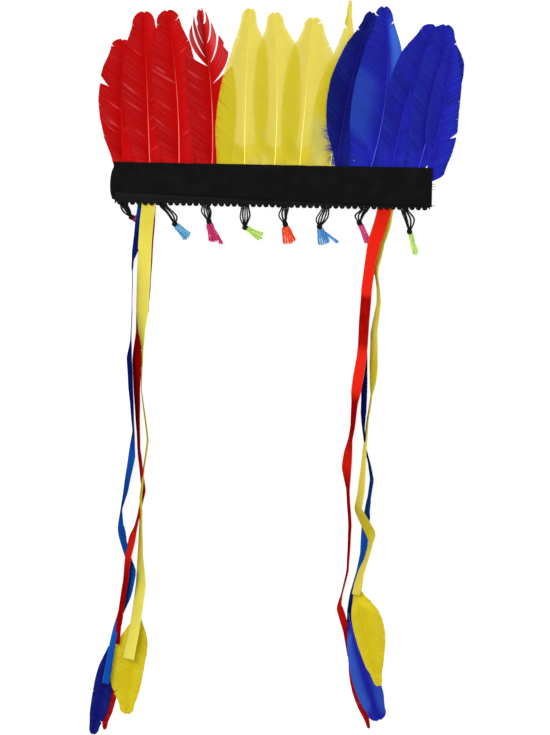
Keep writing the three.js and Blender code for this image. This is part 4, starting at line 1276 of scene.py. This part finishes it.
@dataclass
class Tassel:
    """One tassel: looped black threads, the knot, and a tuft of coloured thread.

    at is a share of the cover's length. knot, end and side_locks are places right of and below it, belly
    is how far the loops swell to the left and right, and flare is the tuft's width, all in loop drops.
    """

    number: int
    at: float
    knot: Place
    end: Place
    belly: Place
    flare: float
    finish: ThreadFinish
    thread: ThreadFinish
    side_locks: Sequence[Place] = ()
    threads: int = 56
    lock_threads: int = 18
    loop_round: Place = (1.5, 1.9)
    loop_pitch: float = 2.9
    knot_turns: float = 4.5
    knot_length: float = 3.6
    knot_thread: float = 0.6
    least_tuft: float = 9.0

    def build(self, sweep: Grower) -> None:
        """Makes the cord piece and the tuft piece."""
        self.random = np.random.default_rng(100 + self.number)
        self.start = np.array([COVER_LEFT + self.at * COVER_LENGTH, -BRAID_BOTTOM])
        self.knot_at = self.start + np.array([self.knot[0], -self.knot[1]]) * LOOP_DROP
        self.end_at = self.start + np.array([self.end[0], -self.end[1]]) * LOOP_DROP
        name, node = f"tassel_{self.number}", f"tassel_cord_{self.number}"
        thread_piece(f"{name}_loops", self._loops(), sweep, self.thread, node)
        thread_piece(f"{name}_tuft", self._tuft(), sweep, self.finish, f"tassel_tuft_{self.number}")

    def _curve(self, points: Sequence[Sequence[float]], count: int) -> np.ndarray:
        """Smooth line through a few points.

        Args:
            points: Two or more places.
            count: How many points the line has.

        Returns:
            The line's points.
        """
        p = np.array(points, float)
        p = np.concatenate([[2 * p[0] - p[1]], p, [2 * p[-1] - p[-2]]])
        place = np.linspace(0, len(p) - 3, count)
        k = np.clip(place.astype(int), 0, len(p) - 4)
        t = (place - k)[:, None]
        a, b, c, d = p[k], p[k + 1], p[k + 2], p[k + 3]
        return 0.5 * (2 * b + (c - a) * t + (2 * a - 5 * b + 4 * c - d) * t ** 2
                      + (3 * b - a - 3 * c + d) * t ** 3)

    def _twisted(self, line: np.ndarray, round_: float, pitch: float, tint: float) -> list[Strand]:
        """Two plies wound round a line.

        Args:
            line: The points it follows.
            round_: Thickness of the thread.
            pitch: Length of one turn.
            tint: Its tint.

        Returns:
            The two plies.
        """
        along = unit(np.gradient(line, axis=0))
        side = unit(np.cross(along, [0, 0, 1.0]))
        over = np.cross(side, along)
        plies = []
        for shift in (0.0, math.pi):
            angle = (distances(line) * 2 * math.pi / pitch + shift)[:, None]
            points = line + round_ / 4 * (side * np.cos(angle) + over * np.sin(angle))
            plies.append(Strand(points, round_ * 0.3, tint))
        return plies

    def _loops(self) -> list[Strand]:
        """Threads that hang from under the braid down to the knot, and the turns of the knot."""
        under = PACK_BASE + 0.55
        level = GAP + KNOT_ROUND / 2
        left, right = (share * LOOP_DROP for share in self.belly)
        strands = []
        bulges = (-left, -0.5 * left, 0.0, 0.5 * right, right)
        for k, aside in enumerate(bulges):
            off = (k - 2) * 1.5
            widest = self.start + (self.knot_at - self.start) * self.random.uniform(0.42, 0.62)
            line = self._curve([
                (self.start[0] + off, self.start[1] + 5, under),
                (self.start[0] + off, self.start[1] - SCALLOP_REACH - 0.4, under - 0.5),
                (widest[0] + aside * 0.9, widest[1], under * 0.45 + self.random.uniform(-0.6, 0.6)),
                (self.knot_at[0] + off * 0.12, self.knot_at[1], level + 0.13 * k),
            ], 46)
            thick, tint = self.random.uniform(*self.loop_round), self.random.uniform(0.1, 0.9)
            strands += self._twisted(line, thick, self.loop_pitch, tint)
        axis = self.end_at - self.knot_at
        axis = np.array([*(axis / np.linalg.norm(axis)), 0.0])
        side = np.cross(axis, [0, 0, 1.0])
        turns = np.linspace(0, 1, 90)
        angle = (turns * self.knot_turns * 2 * math.pi)[:, None]
        swell = (1.6 + 0.5 * np.sin(turns * math.pi))[:, None]
        coil = np.array([*self.knot_at, level]) + axis * ((turns - 0.5) * self.knot_length)[:, None]
        coil = coil + swell * (side * np.cos(angle) + np.array([0, 0, 1.0]) * np.sin(angle))
        strands.append(Strand(coil, self.knot_thread, 0.5))
        return strands

    def _tuft(self) -> list[Strand]:
        """Coloured threads that fan out from the knot in a few locks, and the side locks apart from them."""
        along = self.end_at - self.knot_at
        length = max(self.least_tuft, np.linalg.norm(along) - KNOT_ROUND / 2 - GAP)
        along = along / np.linalg.norm(along)
        across = -square_to(along)
        neck = self.knot_at + along * (KNOT_ROUND / 2 - 0.4)
        half = self.flare * LOOP_DROP / 2
        locks = np.linspace(-1, 1, 5)
        t = np.linspace(0, 1, 12)
        strands = []
        for k in range(self.threads):
            lock = k % 5
            aside = (locks[lock] + self.random.normal(0, 0.13)) * half
            reach = (length + 0.8) * (1 - 0.07 * locks[lock] ** 2 + self.random.normal(0, 0.035))
            begin = self.random.uniform(-1, 1, 2) * (2.4, 0.9)
            wave = self.random.normal(0, 0.16)
            side = begin[0] * (1 - t) ** 2 + aside * t ** 0.5 + wave * np.sin(t * self.random.uniform(3, 7))
            level = GAP + 0.4 + self.random.uniform(0, 1.5)
            rise = (GAP + KNOT_ROUND / 2 + begin[1]) * (1 - smooth(0, 0.9, t)) + level * smooth(0, 0.9, t)
            plan = neck + along * (reach * t)[:, None] + across * side[:, None]
            strands.append(Strand(raised(plan, rise), 0.3, self.random.uniform(0.1, 0.9)))
        for right, down in self.side_locks:
            target = self.start + np.array([right, -down]) * LOOP_DROP
            for _ in range(self.lock_threads):
                goal = target + self.random.normal(0, 1.0, 2)
                middle = (neck + goal) / 2 + self.random.normal(0, 0.7, 2)
                line = self._curve([(*neck, 1.8), (*middle, 1.4), (*goal, 0.7)], 14)
                strands.append(Strand(line, 0.28, self.random.uniform(0.1, 0.9)))
        return strands


@dataclass
class Studio:
    """Pale floor, soft light and a camera straight above the object, as in the photograph."""

    middle: Place = (7.2, -163.3)
    view_height: float = 661.6
    distance: float = 3000.0
    roll: float = 1.1
    floor_side: float = 2500.0
    floor_glow: float = 0.86
    surroundings: float = 0.78
    lamp_size: float = 1.6
    lamp_power: float = 42

    def build(self) -> None:
        """Makes the floor, the lights and the camera."""
        self._floor()
        self._lights()
        self._camera()
        bpy.context.scene.view_settings.view_transform = "Standard"

    def _floor(self) -> None:
        """A plain pale floor."""
        side = self.floor_side
        corners = [(-side, -side, 0), (side, -side, 0), (side, side, 0), (-side, side, 0)]
        floor = new_piece("floor", np.array(corners), faces=[(0, 1, 2, 3)])
        paint = Paint("floor_paint")
        speckle = paint.noise(30.0, 3.0)
        tone = paint.blend(speckle, (0.26, 0.26, 0.26), (0.3, 0.3, 0.3))
        floor.data.materials.append(paint.finish(
            Base_Color=tone, Roughness=0.8, Specular_IOR_Level=0.1, Emission_Color=(1.0, 1.0, 1.0),
            Emission_Strength=self.floor_glow,
        ))

    def _lights(self) -> None:
        """Even white surroundings and one large soft lamp, a little up and to the left."""
        world = bpy.data.worlds.new("studio")
        world.use_nodes = True
        world.node_tree.nodes["Background"].inputs["Color"].default_value = (1, 1, 1, 1)
        world.node_tree.nodes["Background"].inputs["Strength"].default_value = self.surroundings
        bpy.context.scene.world = world
        lamp = bpy.data.lights.new("key", "AREA")
        lamp.shape, lamp.size = "DISK", self.lamp_size
        lamp.energy = self.lamp_power
        key = bpy.data.objects.new("key", lamp)
        key.location = (-0.9, 0.9, 2.2)
        key.rotation_euler = (Vector((0.0, -0.15, 0.0)) - key.location).to_track_quat("-Z", "Y").to_euler()
        bpy.context.scene.collection.objects.link(key)

    def _camera(self) -> None:
        """A long lens that looks straight down."""
        data = bpy.data.cameras.new("camera")
        data.sensor_fit = "VERTICAL"
        data.sensor_height = 36.0
        data.lens = data.sensor_height * self.distance / self.view_height
        data.clip_start, data.clip_end = 0.1, 20.0
        camera = bpy.data.objects.new("camera", data)
        camera.location = (self.middle[0] * MM, self.middle[1] * MM, self.distance * MM)
        camera.rotation_euler = (0, 0, math.radians(self.roll))
        bpy.context.scene.collection.objects.link(camera)
        bpy.context.scene.camera = camera


RED = FeatherFinish("feather_red", srgb(156, 0, 0), srgb(188, 0, 0), srgb(236, 96, 104),
                    srgb(255, 120, 110), 1.0, 0.4, 1.0)
YELLOW = FeatherFinish("feather_yellow", srgb(226, 204, 8), srgb(238, 222, 46), srgb(226, 226, 140),
                       srgb(252, 246, 130), 0.56, 0.3, 0.8)
DENSE_YELLOW = FeatherFinish("feather_yellow", srgb(198, 174, 8), srgb(228, 208, 30), srgb(226, 222, 120),
                             srgb(248, 238, 110), 0.94, 0.3, 0.98)
BLUE = FeatherFinish("feather_blue", srgb(10, 10, 92), srgb(34, 34, 178), srgb(62, 116, 214),
                     srgb(84, 96, 224), 1.0, 0.05, 1.0)
SATINS = {
    "red": SatinFinish("satin_red", srgb(212, 34, 20), srgb(228, 76, 56), srgb(128, 0, 2)),
    "yellow": SatinFinish("satin_yellow", srgb(216, 205, 84), srgb(234, 226, 140), srgb(184, 168, 20)),
    "blue": SatinFinish("satin_blue", srgb(16, 78, 168), srgb(52, 112, 190), srgb(8, 14, 80)),
}
DYES = {"red": RED, "yellow": YELLOW, "blue": BLUE}
L, R = Side.LEFT, Side.RIGHT


def crown_feathers() -> list[tuple[FeatherShape, FeatherFinish]]:
    """The thirteen feathers of the crown, from left to right.

    Returns:
        Each feather's shape and finish. A row holds the name, the root's share of the cover's length, rise,
        lean and bow in feather lengths, lifts, the widths of the two vanes and other fields of FeatherShape.
    """
    rows = (
        ("red_1", 0.03, 0.79, -0.02, -0.01, 0, (0.44, 0.8, 0.95, 0.8, 0.48), (0.6, 0.85, 0.9, 0.7, 0.4), {
            "splits": (Split(L, 0.67, 0.36, 0.22), Split(L, 0.95, 0.25, 0.05)), "shine": 0.05}),
        ("red_2", 0.113, 0.974, -0.056, 0, 0, (0.65, 0.9, 1, 0.86, 0.5), (0.65, 0.9, 0.9, 0.75, 0.42), {
            "shine": 0.7}),
        ("red_3", 0.205, 0.985, -0.098, 0.022, 0, (0.7, 0.95, 1, 0.88, 0.5), (0.7, 0.9, 0.9, 0.75, 0.45), {
            "splits": (Split(R, 0.945, 0.75, 0.05),)}),
        ("red_4", 0.309, 0.996, -0.099, 0.03, 0, (0.7, 0.9, 0.95, 0.85, 0.35), (0.78, 0.95, 1, 0.86, 0.4), {
            "tone": -0.1, "locks": (
                Lock(L, 0.62, 0.655, (0.89, 11.0), (0.78, 15.5), 5.0),
                Lock(L, 0.655, 0.73, (0.936, 7.6), (0.81, 8.6), 7.0),
                Lock(L, 0.73, 0.8, (0.9, 4.6), (0.84, 4.2)), Lock(L, 0.8, 0.87, (0.955, 3.9), (0.89, 3.8)),
                Lock(L, 0.87, 0.93, (0.985, 2.7), (0.94, 2.9)), Lock(L, 0.93, 1.0, (1.0, 1.2), (0.98, 1.6)),
                Lock(R, 0.5, 0.562, (0.72, 17.0), (0.62, 14.5), 7.0, 0.1),
                Lock(R, 0.562, 0.63, (0.79, 14.2), (0.67, 11.5), 7.0, 0.15),
                Lock(R, 0.63, 0.765, (0.86, 8.8), (0.76, 7.8), 12.0),
                Lock(R, 0.765, 0.9, (0.95, 5.0), (0.87, 5.2), 8.0),
                Lock(R, 0.9, 1.0, (1.0, 1.6), (0.97, 2.4), 4.0))}),
        ("yellow_1", 0.411, 1.01, 0.019, -0.01, 0, (1.14, 1.2, 1.02, 0.62, 0.36),
         (0.7, 0.9, 0.92, 0.75, 0.27), {}),
        ("yellow_2", 0.505, 0.987, -0.018, 0.017, 0, (0.7, 0.9, 0.95, 0.78, 0.38),
         (0.7, 0.9, 0.95, 0.86, 0.36), {}),
        ("yellow_3", 0.584, 0.957, 0.067, 0, 0, (0.7, 0.9, 0.95, 0.78, 0.36),
         (0.75, 0.95, 1.05, 1, 0.5), {
            "splits": (Split(R, 0.975, 0.5, 0.06),)}),
        ("yellow_4", 0.679, 1.08, 0.109, 0.01, -0.3, (0.8, 1, 0.85, 0.3, 0.08),
         (0.14, 0.6, 0.7, 0.36, 0.12), {
            "splits": (Split(L, 0.84, 0.8, 0.16),), "down": (Down(L, 0.0, 0.2, 26, 5.0),),
            "sheen": ((L, 0.0, 0.3, 0.5), (L, 0.7, 0.86, 0.4))}),
        ("blue_1", 0.701, 1, 0.209, -0.03, 1, (0.08, 0.66, 0.85, 0.62, 0.26), (0.6, 0.8, 0.8, 0.6, 0.3), {
            "splits": (Split(L, 0.87, 0.3, 0.07),), "down": (Down(L, -0.02, 0.24, 130, 11.0),),
            "tone": -0.42, "shine": 0.0}),
        ("blue_2", 0.808, 1.036, 0.064, 0.055, 1, (0.95, 1.3, 1.3, 0.92, 0.42),
         (0.6, 0.7, 0.72, 0.55, 0.3), {
            "splits": (Split(L, 0.955, 0.45, 0.06), Split(R, 0.9, 0.5, 0.08)),
            "sheen": ((L, 0.2, 0.62, 0.2), (R, 0.3, 0.9, 0.6)), "shine": 0.7}),
        ("blue_3", 0.874, 0.918, 0.264, -0.035, 1, (0.72, 0.7, 0.9, 0.85, 0.52), (0.6, 0.8, 0.9, 0.8, 0.4), {
            "splits": (Split(R, 0.96, 0.6, 0.06),), "shine": 0.15}),
        ("blue_4", 0.958, 0.925, 0.157, 0.025, 1, (0.6, 0.8, 0.95, 0.8, 0.5), (0.25, 0.9, 0.9, 0.92, 0.4), {
            "splits": (Split(R, 0.88, 0.4, 0.06),), "shine": 0.6}),
        ("blue_5", 0.99, 0.797, 0.136, 0.02, 2, (0.08, 0.5, 0.6, 0.5, 0.3), (0.66, 0.78, 0.66, 0.55, 0.3), {
            "start": -0.12, "splits": (Split(R, 0.3, 0.35, 0.12),), "shine": 0.0}),
    )
    quill_height, tip_height, lift_step, drop_lengths, under_cover = 10.0, 1.7, 1.1, 1.08, -0.05
    feathers = []
    for name, root, rise, lean, bow, lift, left, right, more in rows:
        base = (COVER_LEFT + root * COVER_LENGTH, COVER_ABOVE + GAP)
        tip = (base[0] + lean * FEATHER_LENGTH, base[1] + rise * FEATHER_LENGTH)
        shape = FeatherShape(
            f"feather_{name}", base, tip, left, right, (quill_height, tip_height), bow, lift * lift_step,
            math.dist(base, tip) / (drop_lengths * FEATHER_LENGTH), **({"start": under_cover} | more),
        )
        feathers.append((shape, DYES[name.split("_")[0]]))
    return feathers


FASTENINGS = {"left": COVER_LEFT + 0.111 * COVER_LENGTH, "right": COVER_LEFT + 0.85 * COVER_LENGTH}


def ribbons() -> list[Ribbon]:
    """The six satin ribbons. A row for each fold or bend holds the fields of Bend, in their order."""
    rows = {
        "left_yellow": (
            (0.012, 0, 0, 8.7, 0.4), (0.04, -0.1, 6, 7.5, 0.45), (0.09, -0.2, 12, 4.9, 0.3),
            (0.13, -0.23, 12, 3.2, 0.15), (0.235, -0.3, 28, 3, 0.25), (0.28, -0.32, 58, 1.6, 0.3),
            (0.317, -0.22, 80, 1.5, 0.7), (0.36, -0.24, 84, 0.2, 0.8), (0.41, -0.25, 85, 0.2, 0.6),
            (0.46, 0, 82, 0.2, 0.5), (0.52, 0.28, 80, 0.2, 0.4), (0.575, 0.06, 82, 1.6, 0.5),
            (0.64, -0.14, 78, 1.6, 0.7), (0.7, -0.1, 76, 1.6, 0.6), (0.77, -0.1, 66, 0.2, 0.35),
            (0.837, -0.02, 42, 1.6, 0.15), (0.875, -0.16, 42, 5, 0.1), (0.91, -0.3, 42, 5, 0.1),
            (0.95, -0.5, 42, 5, 0.1), (1, -0.8, 36, 4.8, 0.1)),
        "left_red": (
            (0, 0.02, 0, 7.2, 0.5), (0.04, 0, 0, 6, 0.6), (0.09, -0.12, 0, 3.4, 0.7),
            (0.13, -0.16, 0, 1.6, 0.8), (0.235, -0.3, 0, 1.5, 0.85, 0.9),
            (0.285, -0.5, 0, 0.2, 0.85, 0.5), (0.322, -0.62, 4, 0.2, 0.85, 0.56),
            (0.36, -0.6, 46, 0.2, 0.85, 0.9), (0.42, -0.56, 62, 0.2, 0.95), (0.5, -0.42, 74, 0.2, 0.9),
            (0.54, -0.34, 76, 0.2, 0.8), (0.58, -0.18, 70, 0.2, 0.6, 0.7),
            (0.63, 0.04, 60, 0.2, 0.45, 0.6), (0.68, -0.24, 74, 0.2, 0.6, 0.6),
            (0.71, -0.46, 72, 0.2, 0.6, 0.7), (0.735, -0.68, 58, 1.6, 0.45),
            (0.775, -0.96, 62, 1.6, 0.5), (0.82, -1.08, 66, 1.2, 0.85), (0.87, -1.28, 66, 1.5, 0.9),
            (0.9, -1.42, 66, 1.6, 0.85), (0.925, -1.52, 42, 5, 0.9, 0.5),
            (0.968, -1.62, 42, 4, 0.9, 0.5)),
        "left_blue": (
            (0, -0.25, 0, 5.7, 0.5), (0.04, -0.44, 0, 4.5, 0.7), (0.075, -0.62, 0, 2.6, 0.9, 0.8),
            (0.1, -0.86, 30, 0.8, 0.9, 0.55), (0.125, -1.04, 78, 0.2, 0.85, 0.6),
            (0.15, -1.05, 85, 0.2, 0.8), (0.24, -1.02, 86, 0.2, 0.8), (0.3, -1.06, 84, 0.2, 0.9),
            (0.34, -1.15, 66, 0.2, 0.95), (0.4, -1.02, 68, 0.2, 0.95), (0.5, -0.76, 80, 0.2, 0.8),
            (0.555, -0.84, 58, 0.2, 0.35), (0.63, -1.22, 68, 0.2, 0.6), (0.672, -1.5, 82, 0.2, 0.7),
            (0.705, -1.54, 66, 0.2, 0.45), (0.742, -1.34, 20, 0.2, 0.5, 0.5),
            (0.757, -1.2, 30, 0.2, 0.55, 0.5), (0.79, -0.84, 30, 0.2, 0.5, 0.5),
            (0.81, -0.64, 56, 0.2, 0.1), (0.855, -0.88, 58, 0.2, 0.1), (0.885, -1.2, 44, 0.2, 0.1, 0.5),
            (0.912, -1.56, 48, 0.2, 0.15, 0.5), (0.93, -1.74, 48, 0.3, 0.15, 0.5),
            (0.955, -1.88, 34, 3.7, 0.2, 0.5), (0.99, -2.06, 40, 3.7, 0.3, 0.6),
            (1.055, -2.38, 38, 3.7, 0.3, 0.7)),
        "right_red": (
            (0.012, 0, 0, 8.7, 0.3), (0.045, -0.3, 10, 7.8, 0.2), (0.08, -0.66, 24, 6.4, 0.05),
            (0.12, -0.88, 40, 3.2, 0), (0.17, -1.08, 42, 2.9, 0), (0.19, -1.12, 43, 2.9, 0.1),
            (0.2, -1.14, 43, 2.9, 0.75), (0.25, -1.24, 44, 2.9, 0.75), (0.3, -1.3, 47, 2.9, 0.65),
            (0.325, -1.35, 46, 2.9, 0.05), (0.37, -1.56, 40, 2.9, 0), (0.405, -1.72, 46, 1.8, 0.2),
            (0.43, -1.8, 64, 1.2, 0.9), (0.48, -1.9, 72, 0.2, 1), (0.51, -2.05, 74, 0.2, 0.8),
            (0.54, -2.2, 54, 0.2, 0.5), (0.57, -2.28, 46, 0.2, 0.5), (0.62, -2.16, 78, 0.2, 0.9),
            (0.7, -1.96, 78, 0.2, 1), (0.795, -2.06, 83, 0.2, 1), (0.85, -2.44, 86, 0.2, 0.9),
            (0.872, -2.6, 76, 0.2, 0.6, 0.8), (0.885, -2.52, 30, 0.2, 0.6, 0.55),
            (0.93, -2.06, 0, 0.2, 0.75, 0.5), (0.985, -1.72, 0, 0.2, 0.95, 0.5)),
        "right_yellow": (
            (0, 0.22, 0, 7.2, 0.5), (0.04, 0.02, 0, 6.2, 0.6), (0.08, -0.36, 0, 4.7, 0.6, 0.9),
            (0.11, -0.48, 20, 2.2, 0.5, 0.85), (0.13, -0.54, 50, 1.6, 0.5, 0.85),
            (0.147, -0.42, 80, 0.6, 0.4, 0.9), (0.18, -0.28, 78, 0.2, 0.25),
            (0.21, -0.22, 74, 0.2, 0.25), (0.24, -0.38, 68, 0.2, 0.2), (0.275, -0.52, 62, 0.2, 0.1),
            (0.35, -0.5, 56, 0.2, 0.75), (0.385, -0.54, 66, 0.2, 0.7), (0.412, -0.6, 84, 0.2, 0.4),
            (0.465, -0.84, 83, 0.2, 0.3), (0.487, -0.9, 81, 1.6, 0.3), (0.52, -1, 78, 1.6, 0.2),
            (0.57, -1.1, 70, 0.8, 0.15), (0.625, -1.22, 62, 0.2, 0.15), (0.662, -1.42, 60, 0.2, 0.4),
            (0.69, -0.94, 50, 1.6, 0.75), (0.716, -0.46, 46, 1.6, 0.7), (0.735, -0.46, 74, 1.6, 0.4),
            (0.775, -0.8, 74, 1.6, 0.25), (0.805, -1.16, 60, 6, 0.3, 0.8),
            (0.85, -1.44, 10, 6.2, 0.4, 0.6)),
        "right_blue": (
            (0, 0.05, 0, 5.8, 0.5), (0.04, -0.2, 0, 4.8, 0.6), (0.08, -0.5, 0, 3.3, 0.7),
            (0.12, -0.86, 0, 0.4, 0.8, 0.8), (0.18, -1.14, 0, 0.2, 0.8, 0.7),
            (0.3, -1.3, 0, 0.2, 0.8, 0.6), (0.36, -1.16, 44, 0.2, 0.85, 0.6),
            (0.41, -1.12, 66, 0.2, 0.95, 0.9), (0.45, -1.16, 68, 0.2, 0.95),
            (0.49, -1.12, 83, 0.2, 1, 0.8), (0.53, -0.94, 84, 0.2, 0.9, 0.7),
            (0.558, -0.7, 83, 0.2, 0.8, 0.8), (0.597, -0.46, 76, 0.2, 0.6),
            (0.635, -0.64, 78, 0.2, 0.6), (0.67, -0.76, 62, 0.2, 0.55, 0.7),
            (0.69, -0.8, 0, 0.2, 0.5, 0.45), (0.73, -0.86, 0, 0.2, 0.35, 0.45),
            (0.76, -0.96, 0, 0.2, 0.3, 0.5), (0.8, -1.2, 0, 0.2, 0.35, 0.5),
            (0.85, -1.64, 20, 0.2, 0.7, 0.5), (0.885, -1.8, 0, 0.6, 0.9, 0.5),
            (0.93, -1.8, 0, 0.6, 0.9, 0.5)),
    }
    made = []
    for name, bends in rows.items():
        group, dye = name.split("_")
        tucked = name in ("left_yellow", "right_red")
        made.append(Ribbon(name, FASTENINGS[group], [Bend(*row) for row in bends], SATINS[dye], tucked))
    return made


def ribbon_feathers() -> list[tuple[FeatherShape, FeatherFinish]]:
    """The feather at the end of each ribbon.

    Returns:
        Each feather's shape and finish. A row holds the name, the base to the side of the fastening in
        ribbon widths and below the braid in ribbon drops, the tip from the base in feather lengths, the
        heights of base and tip, the widths of the two vanes and other fields of FeatherShape.
    """
    rows = (
        ("left_red", (-1.85, 0.982), (-0.077, 0.776), (0.75, 0.55), (0.1, 0.6, 0.7, 0.5, 0.2),
         (0.1, 0.6, 0.7, 0.5, 0.2), {"tone": -0.5}),
        ("left_blue", (-2.16, 0.975), (-0.146, 0.851), (2.4, 2.0), (0.15, 0.7, 0.85, 0.75, 0.4),
         (0.15, 0.5, 0.55, 0.5, 0.35), {"splits": (Split(L, 0.85, 0.5, 0.07),), "tone": -0.4, "shine": 0.3}),
        ("left_yellow", (-0.1, 0.9), (-0.102, 0.979), (3.9, 3.7), (0.1, 0.9, 0.95, 0.8, 0.5),
         (0.2, 1.1, 1.7, 1.3, 0.6), {"splits": (Split(R, 0.8, 0.5, 0.08),), "shine": 0.4}),
        ("right_red", (-1.7, 0.963), (0.19, 0.802), (2.0, 0.6), (0.1, 0.5, 0.6, 0.4, 0.15),
         (0.1, 0.5, 0.6, 0.4, 0.15), {"tone": -0.5}),
        ("right_blue", (-1.8, 0.91), (0.299, 0.948), (3.7, 3.0), (0.15, 0.7, 0.95, 0.95, 0.7),
         (0.15, 0.75, 1, 1, 0.7), {"sheen": ((L, 0.3, 0.95, 0.3), (R, 0.1, 0.9, 0.45)), "shine": 0.6}),
        ("right_yellow", (-1.35, 0.84), (0.223, 0.926), (5.0, 5.0), (0.3, 1.3, 1.4, 0.9, 0.4),
         (0.3, 0.8, 0.8, 0.6, 0.3), {"splits": (Split(R, 0.86, 0.5, 0.06),), "shine": 0.5}),
    )
    feathers = []
    for name, (side, down), (aside, below), heights, left, right, more in rows:
        group, dye = name.split("_")
        base = (FASTENINGS[group] + side * RIBBON_WIDTH, -BRAID_BOTTOM - down * RIBBON_DROP)
        tip = (base[0] + aside * SMALL_LENGTH, base[1] - below * SMALL_LENGTH)
        shape = FeatherShape(
            f"ribbon_feather_{name}", base, tip, left, right, heights, bow=0.01, half=SMALL_HALF, tilt=0.0,
            camber=0.0, quill=1.4, tuck=8.0, **more,
        )
        feathers.append((shape, DENSE_YELLOW if dye == "yellow" else DYES[dye]))
    return feathers


def tassels(thread: ThreadFinish) -> list[Tassel]:
    """The eight tassels, from left to right."""
    tufts = (
        ("red", srgb(150, 18, 12), srgb(232, 48, 36)),
        ("light_blue", srgb(52, 120, 165), srgb(120, 190, 220)),
        ("magenta", srgb(150, 22, 70), srgb(218, 66, 122)),
        ("lime", srgb(146, 186, 66), srgb(208, 240, 140)),
        ("orange", srgb(196, 44, 14), srgb(250, 92, 48)),
        ("blue", srgb(44, 104, 170), srgb(104, 172, 224)),
        ("pink", srgb(168, 38, 96), srgb(232, 96, 152)),
        ("pale_lime", srgb(160, 196, 92), srgb(216, 248, 156)),
    )
    places = (
        (0.035, (0.36, 0.72), (1.3, 1.02), (0.3, 0.1), 0.34, ()),
        (0.159, (0.56, 1.02), (1.24, 1.66), (0.1, 0.34), 0.4, ()),
        (0.291, (0.17, 0.86), (0.44, 1.84), (0.3, 0.2), 0.42, ((0.83, 1.97),)),
        (0.415, (0, 1.12), (0.86, 1.58), (0.26, 0.26), 0.4, ()),
        (0.54, (0.03, 0.94), (0.28, 1.86), (0.34, 0.08), 0.56, ()),
        (0.667, (-0.28, 1.02), (-0.02, 1.88), (0.3, 0.3), 0.5, ((0.65, 1.78),)),
        (0.79, (-0.24, 0.79), (0.23, 1.78), (0.36, 0.1), 0.26, ()),
        (0.916, (0.27, 1.18), (0.6, 2.28), (0.1, 0.4), 0.26, ()),
    )
    made = []
    for k, ((name, dark, light), (at, knot, end, belly, flare, locks)) in enumerate(zip(tufts, places)):
        finish = ThreadFinish(f"tuft_{name}", dark, light, 0.6)
        made.append(Tassel(k + 1, at, knot, end, belly, flare, finish, thread, locks))
    return made


def main() -> None:
    """Loads the frame and builds every part of the headdress and the studio."""
    logging.basicConfig(level=logging.INFO, format="%(message)s")
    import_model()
    sweep, picots = sweep_tree(), picot_tree()
    black = ThreadFinish("braid", srgb(3, 3, 3), srgb(22, 22, 24), 0.6)
    thread = ThreadFinish("tassel_thread", srgb(2, 2, 2), srgb(26, 26, 28), 0.6)
    elastic = WovenFinish("elastic", srgb(9, 9, 9), srgb(34, 34, 35), 900.0, 1400.0, 0.0001)
    cloth = WovenFinish("cover_cloth", srgb(8, 8, 8), srgb(30, 30, 31), 1100.0, 1100.0, 0.0001)
    Band(elastic, cloth, black).build(sweep, picots)
    for number, (shape, finish) in enumerate(crown_feathers()):
        Plume(shape, finish, seed=number).build(sweep)
    for ribbon in ribbons():
        ribbon.build()
    for number, (shape, finish) in enumerate(ribbon_feathers()):
        Plume(shape, finish, seed=50 + number, pitch=0.5, steps=7, girth=0.42).build(sweep)
    for tassel in tassels(thread):
        tassel.build(sweep)
    Studio().build()


if __name__ == "__main__":
    main()
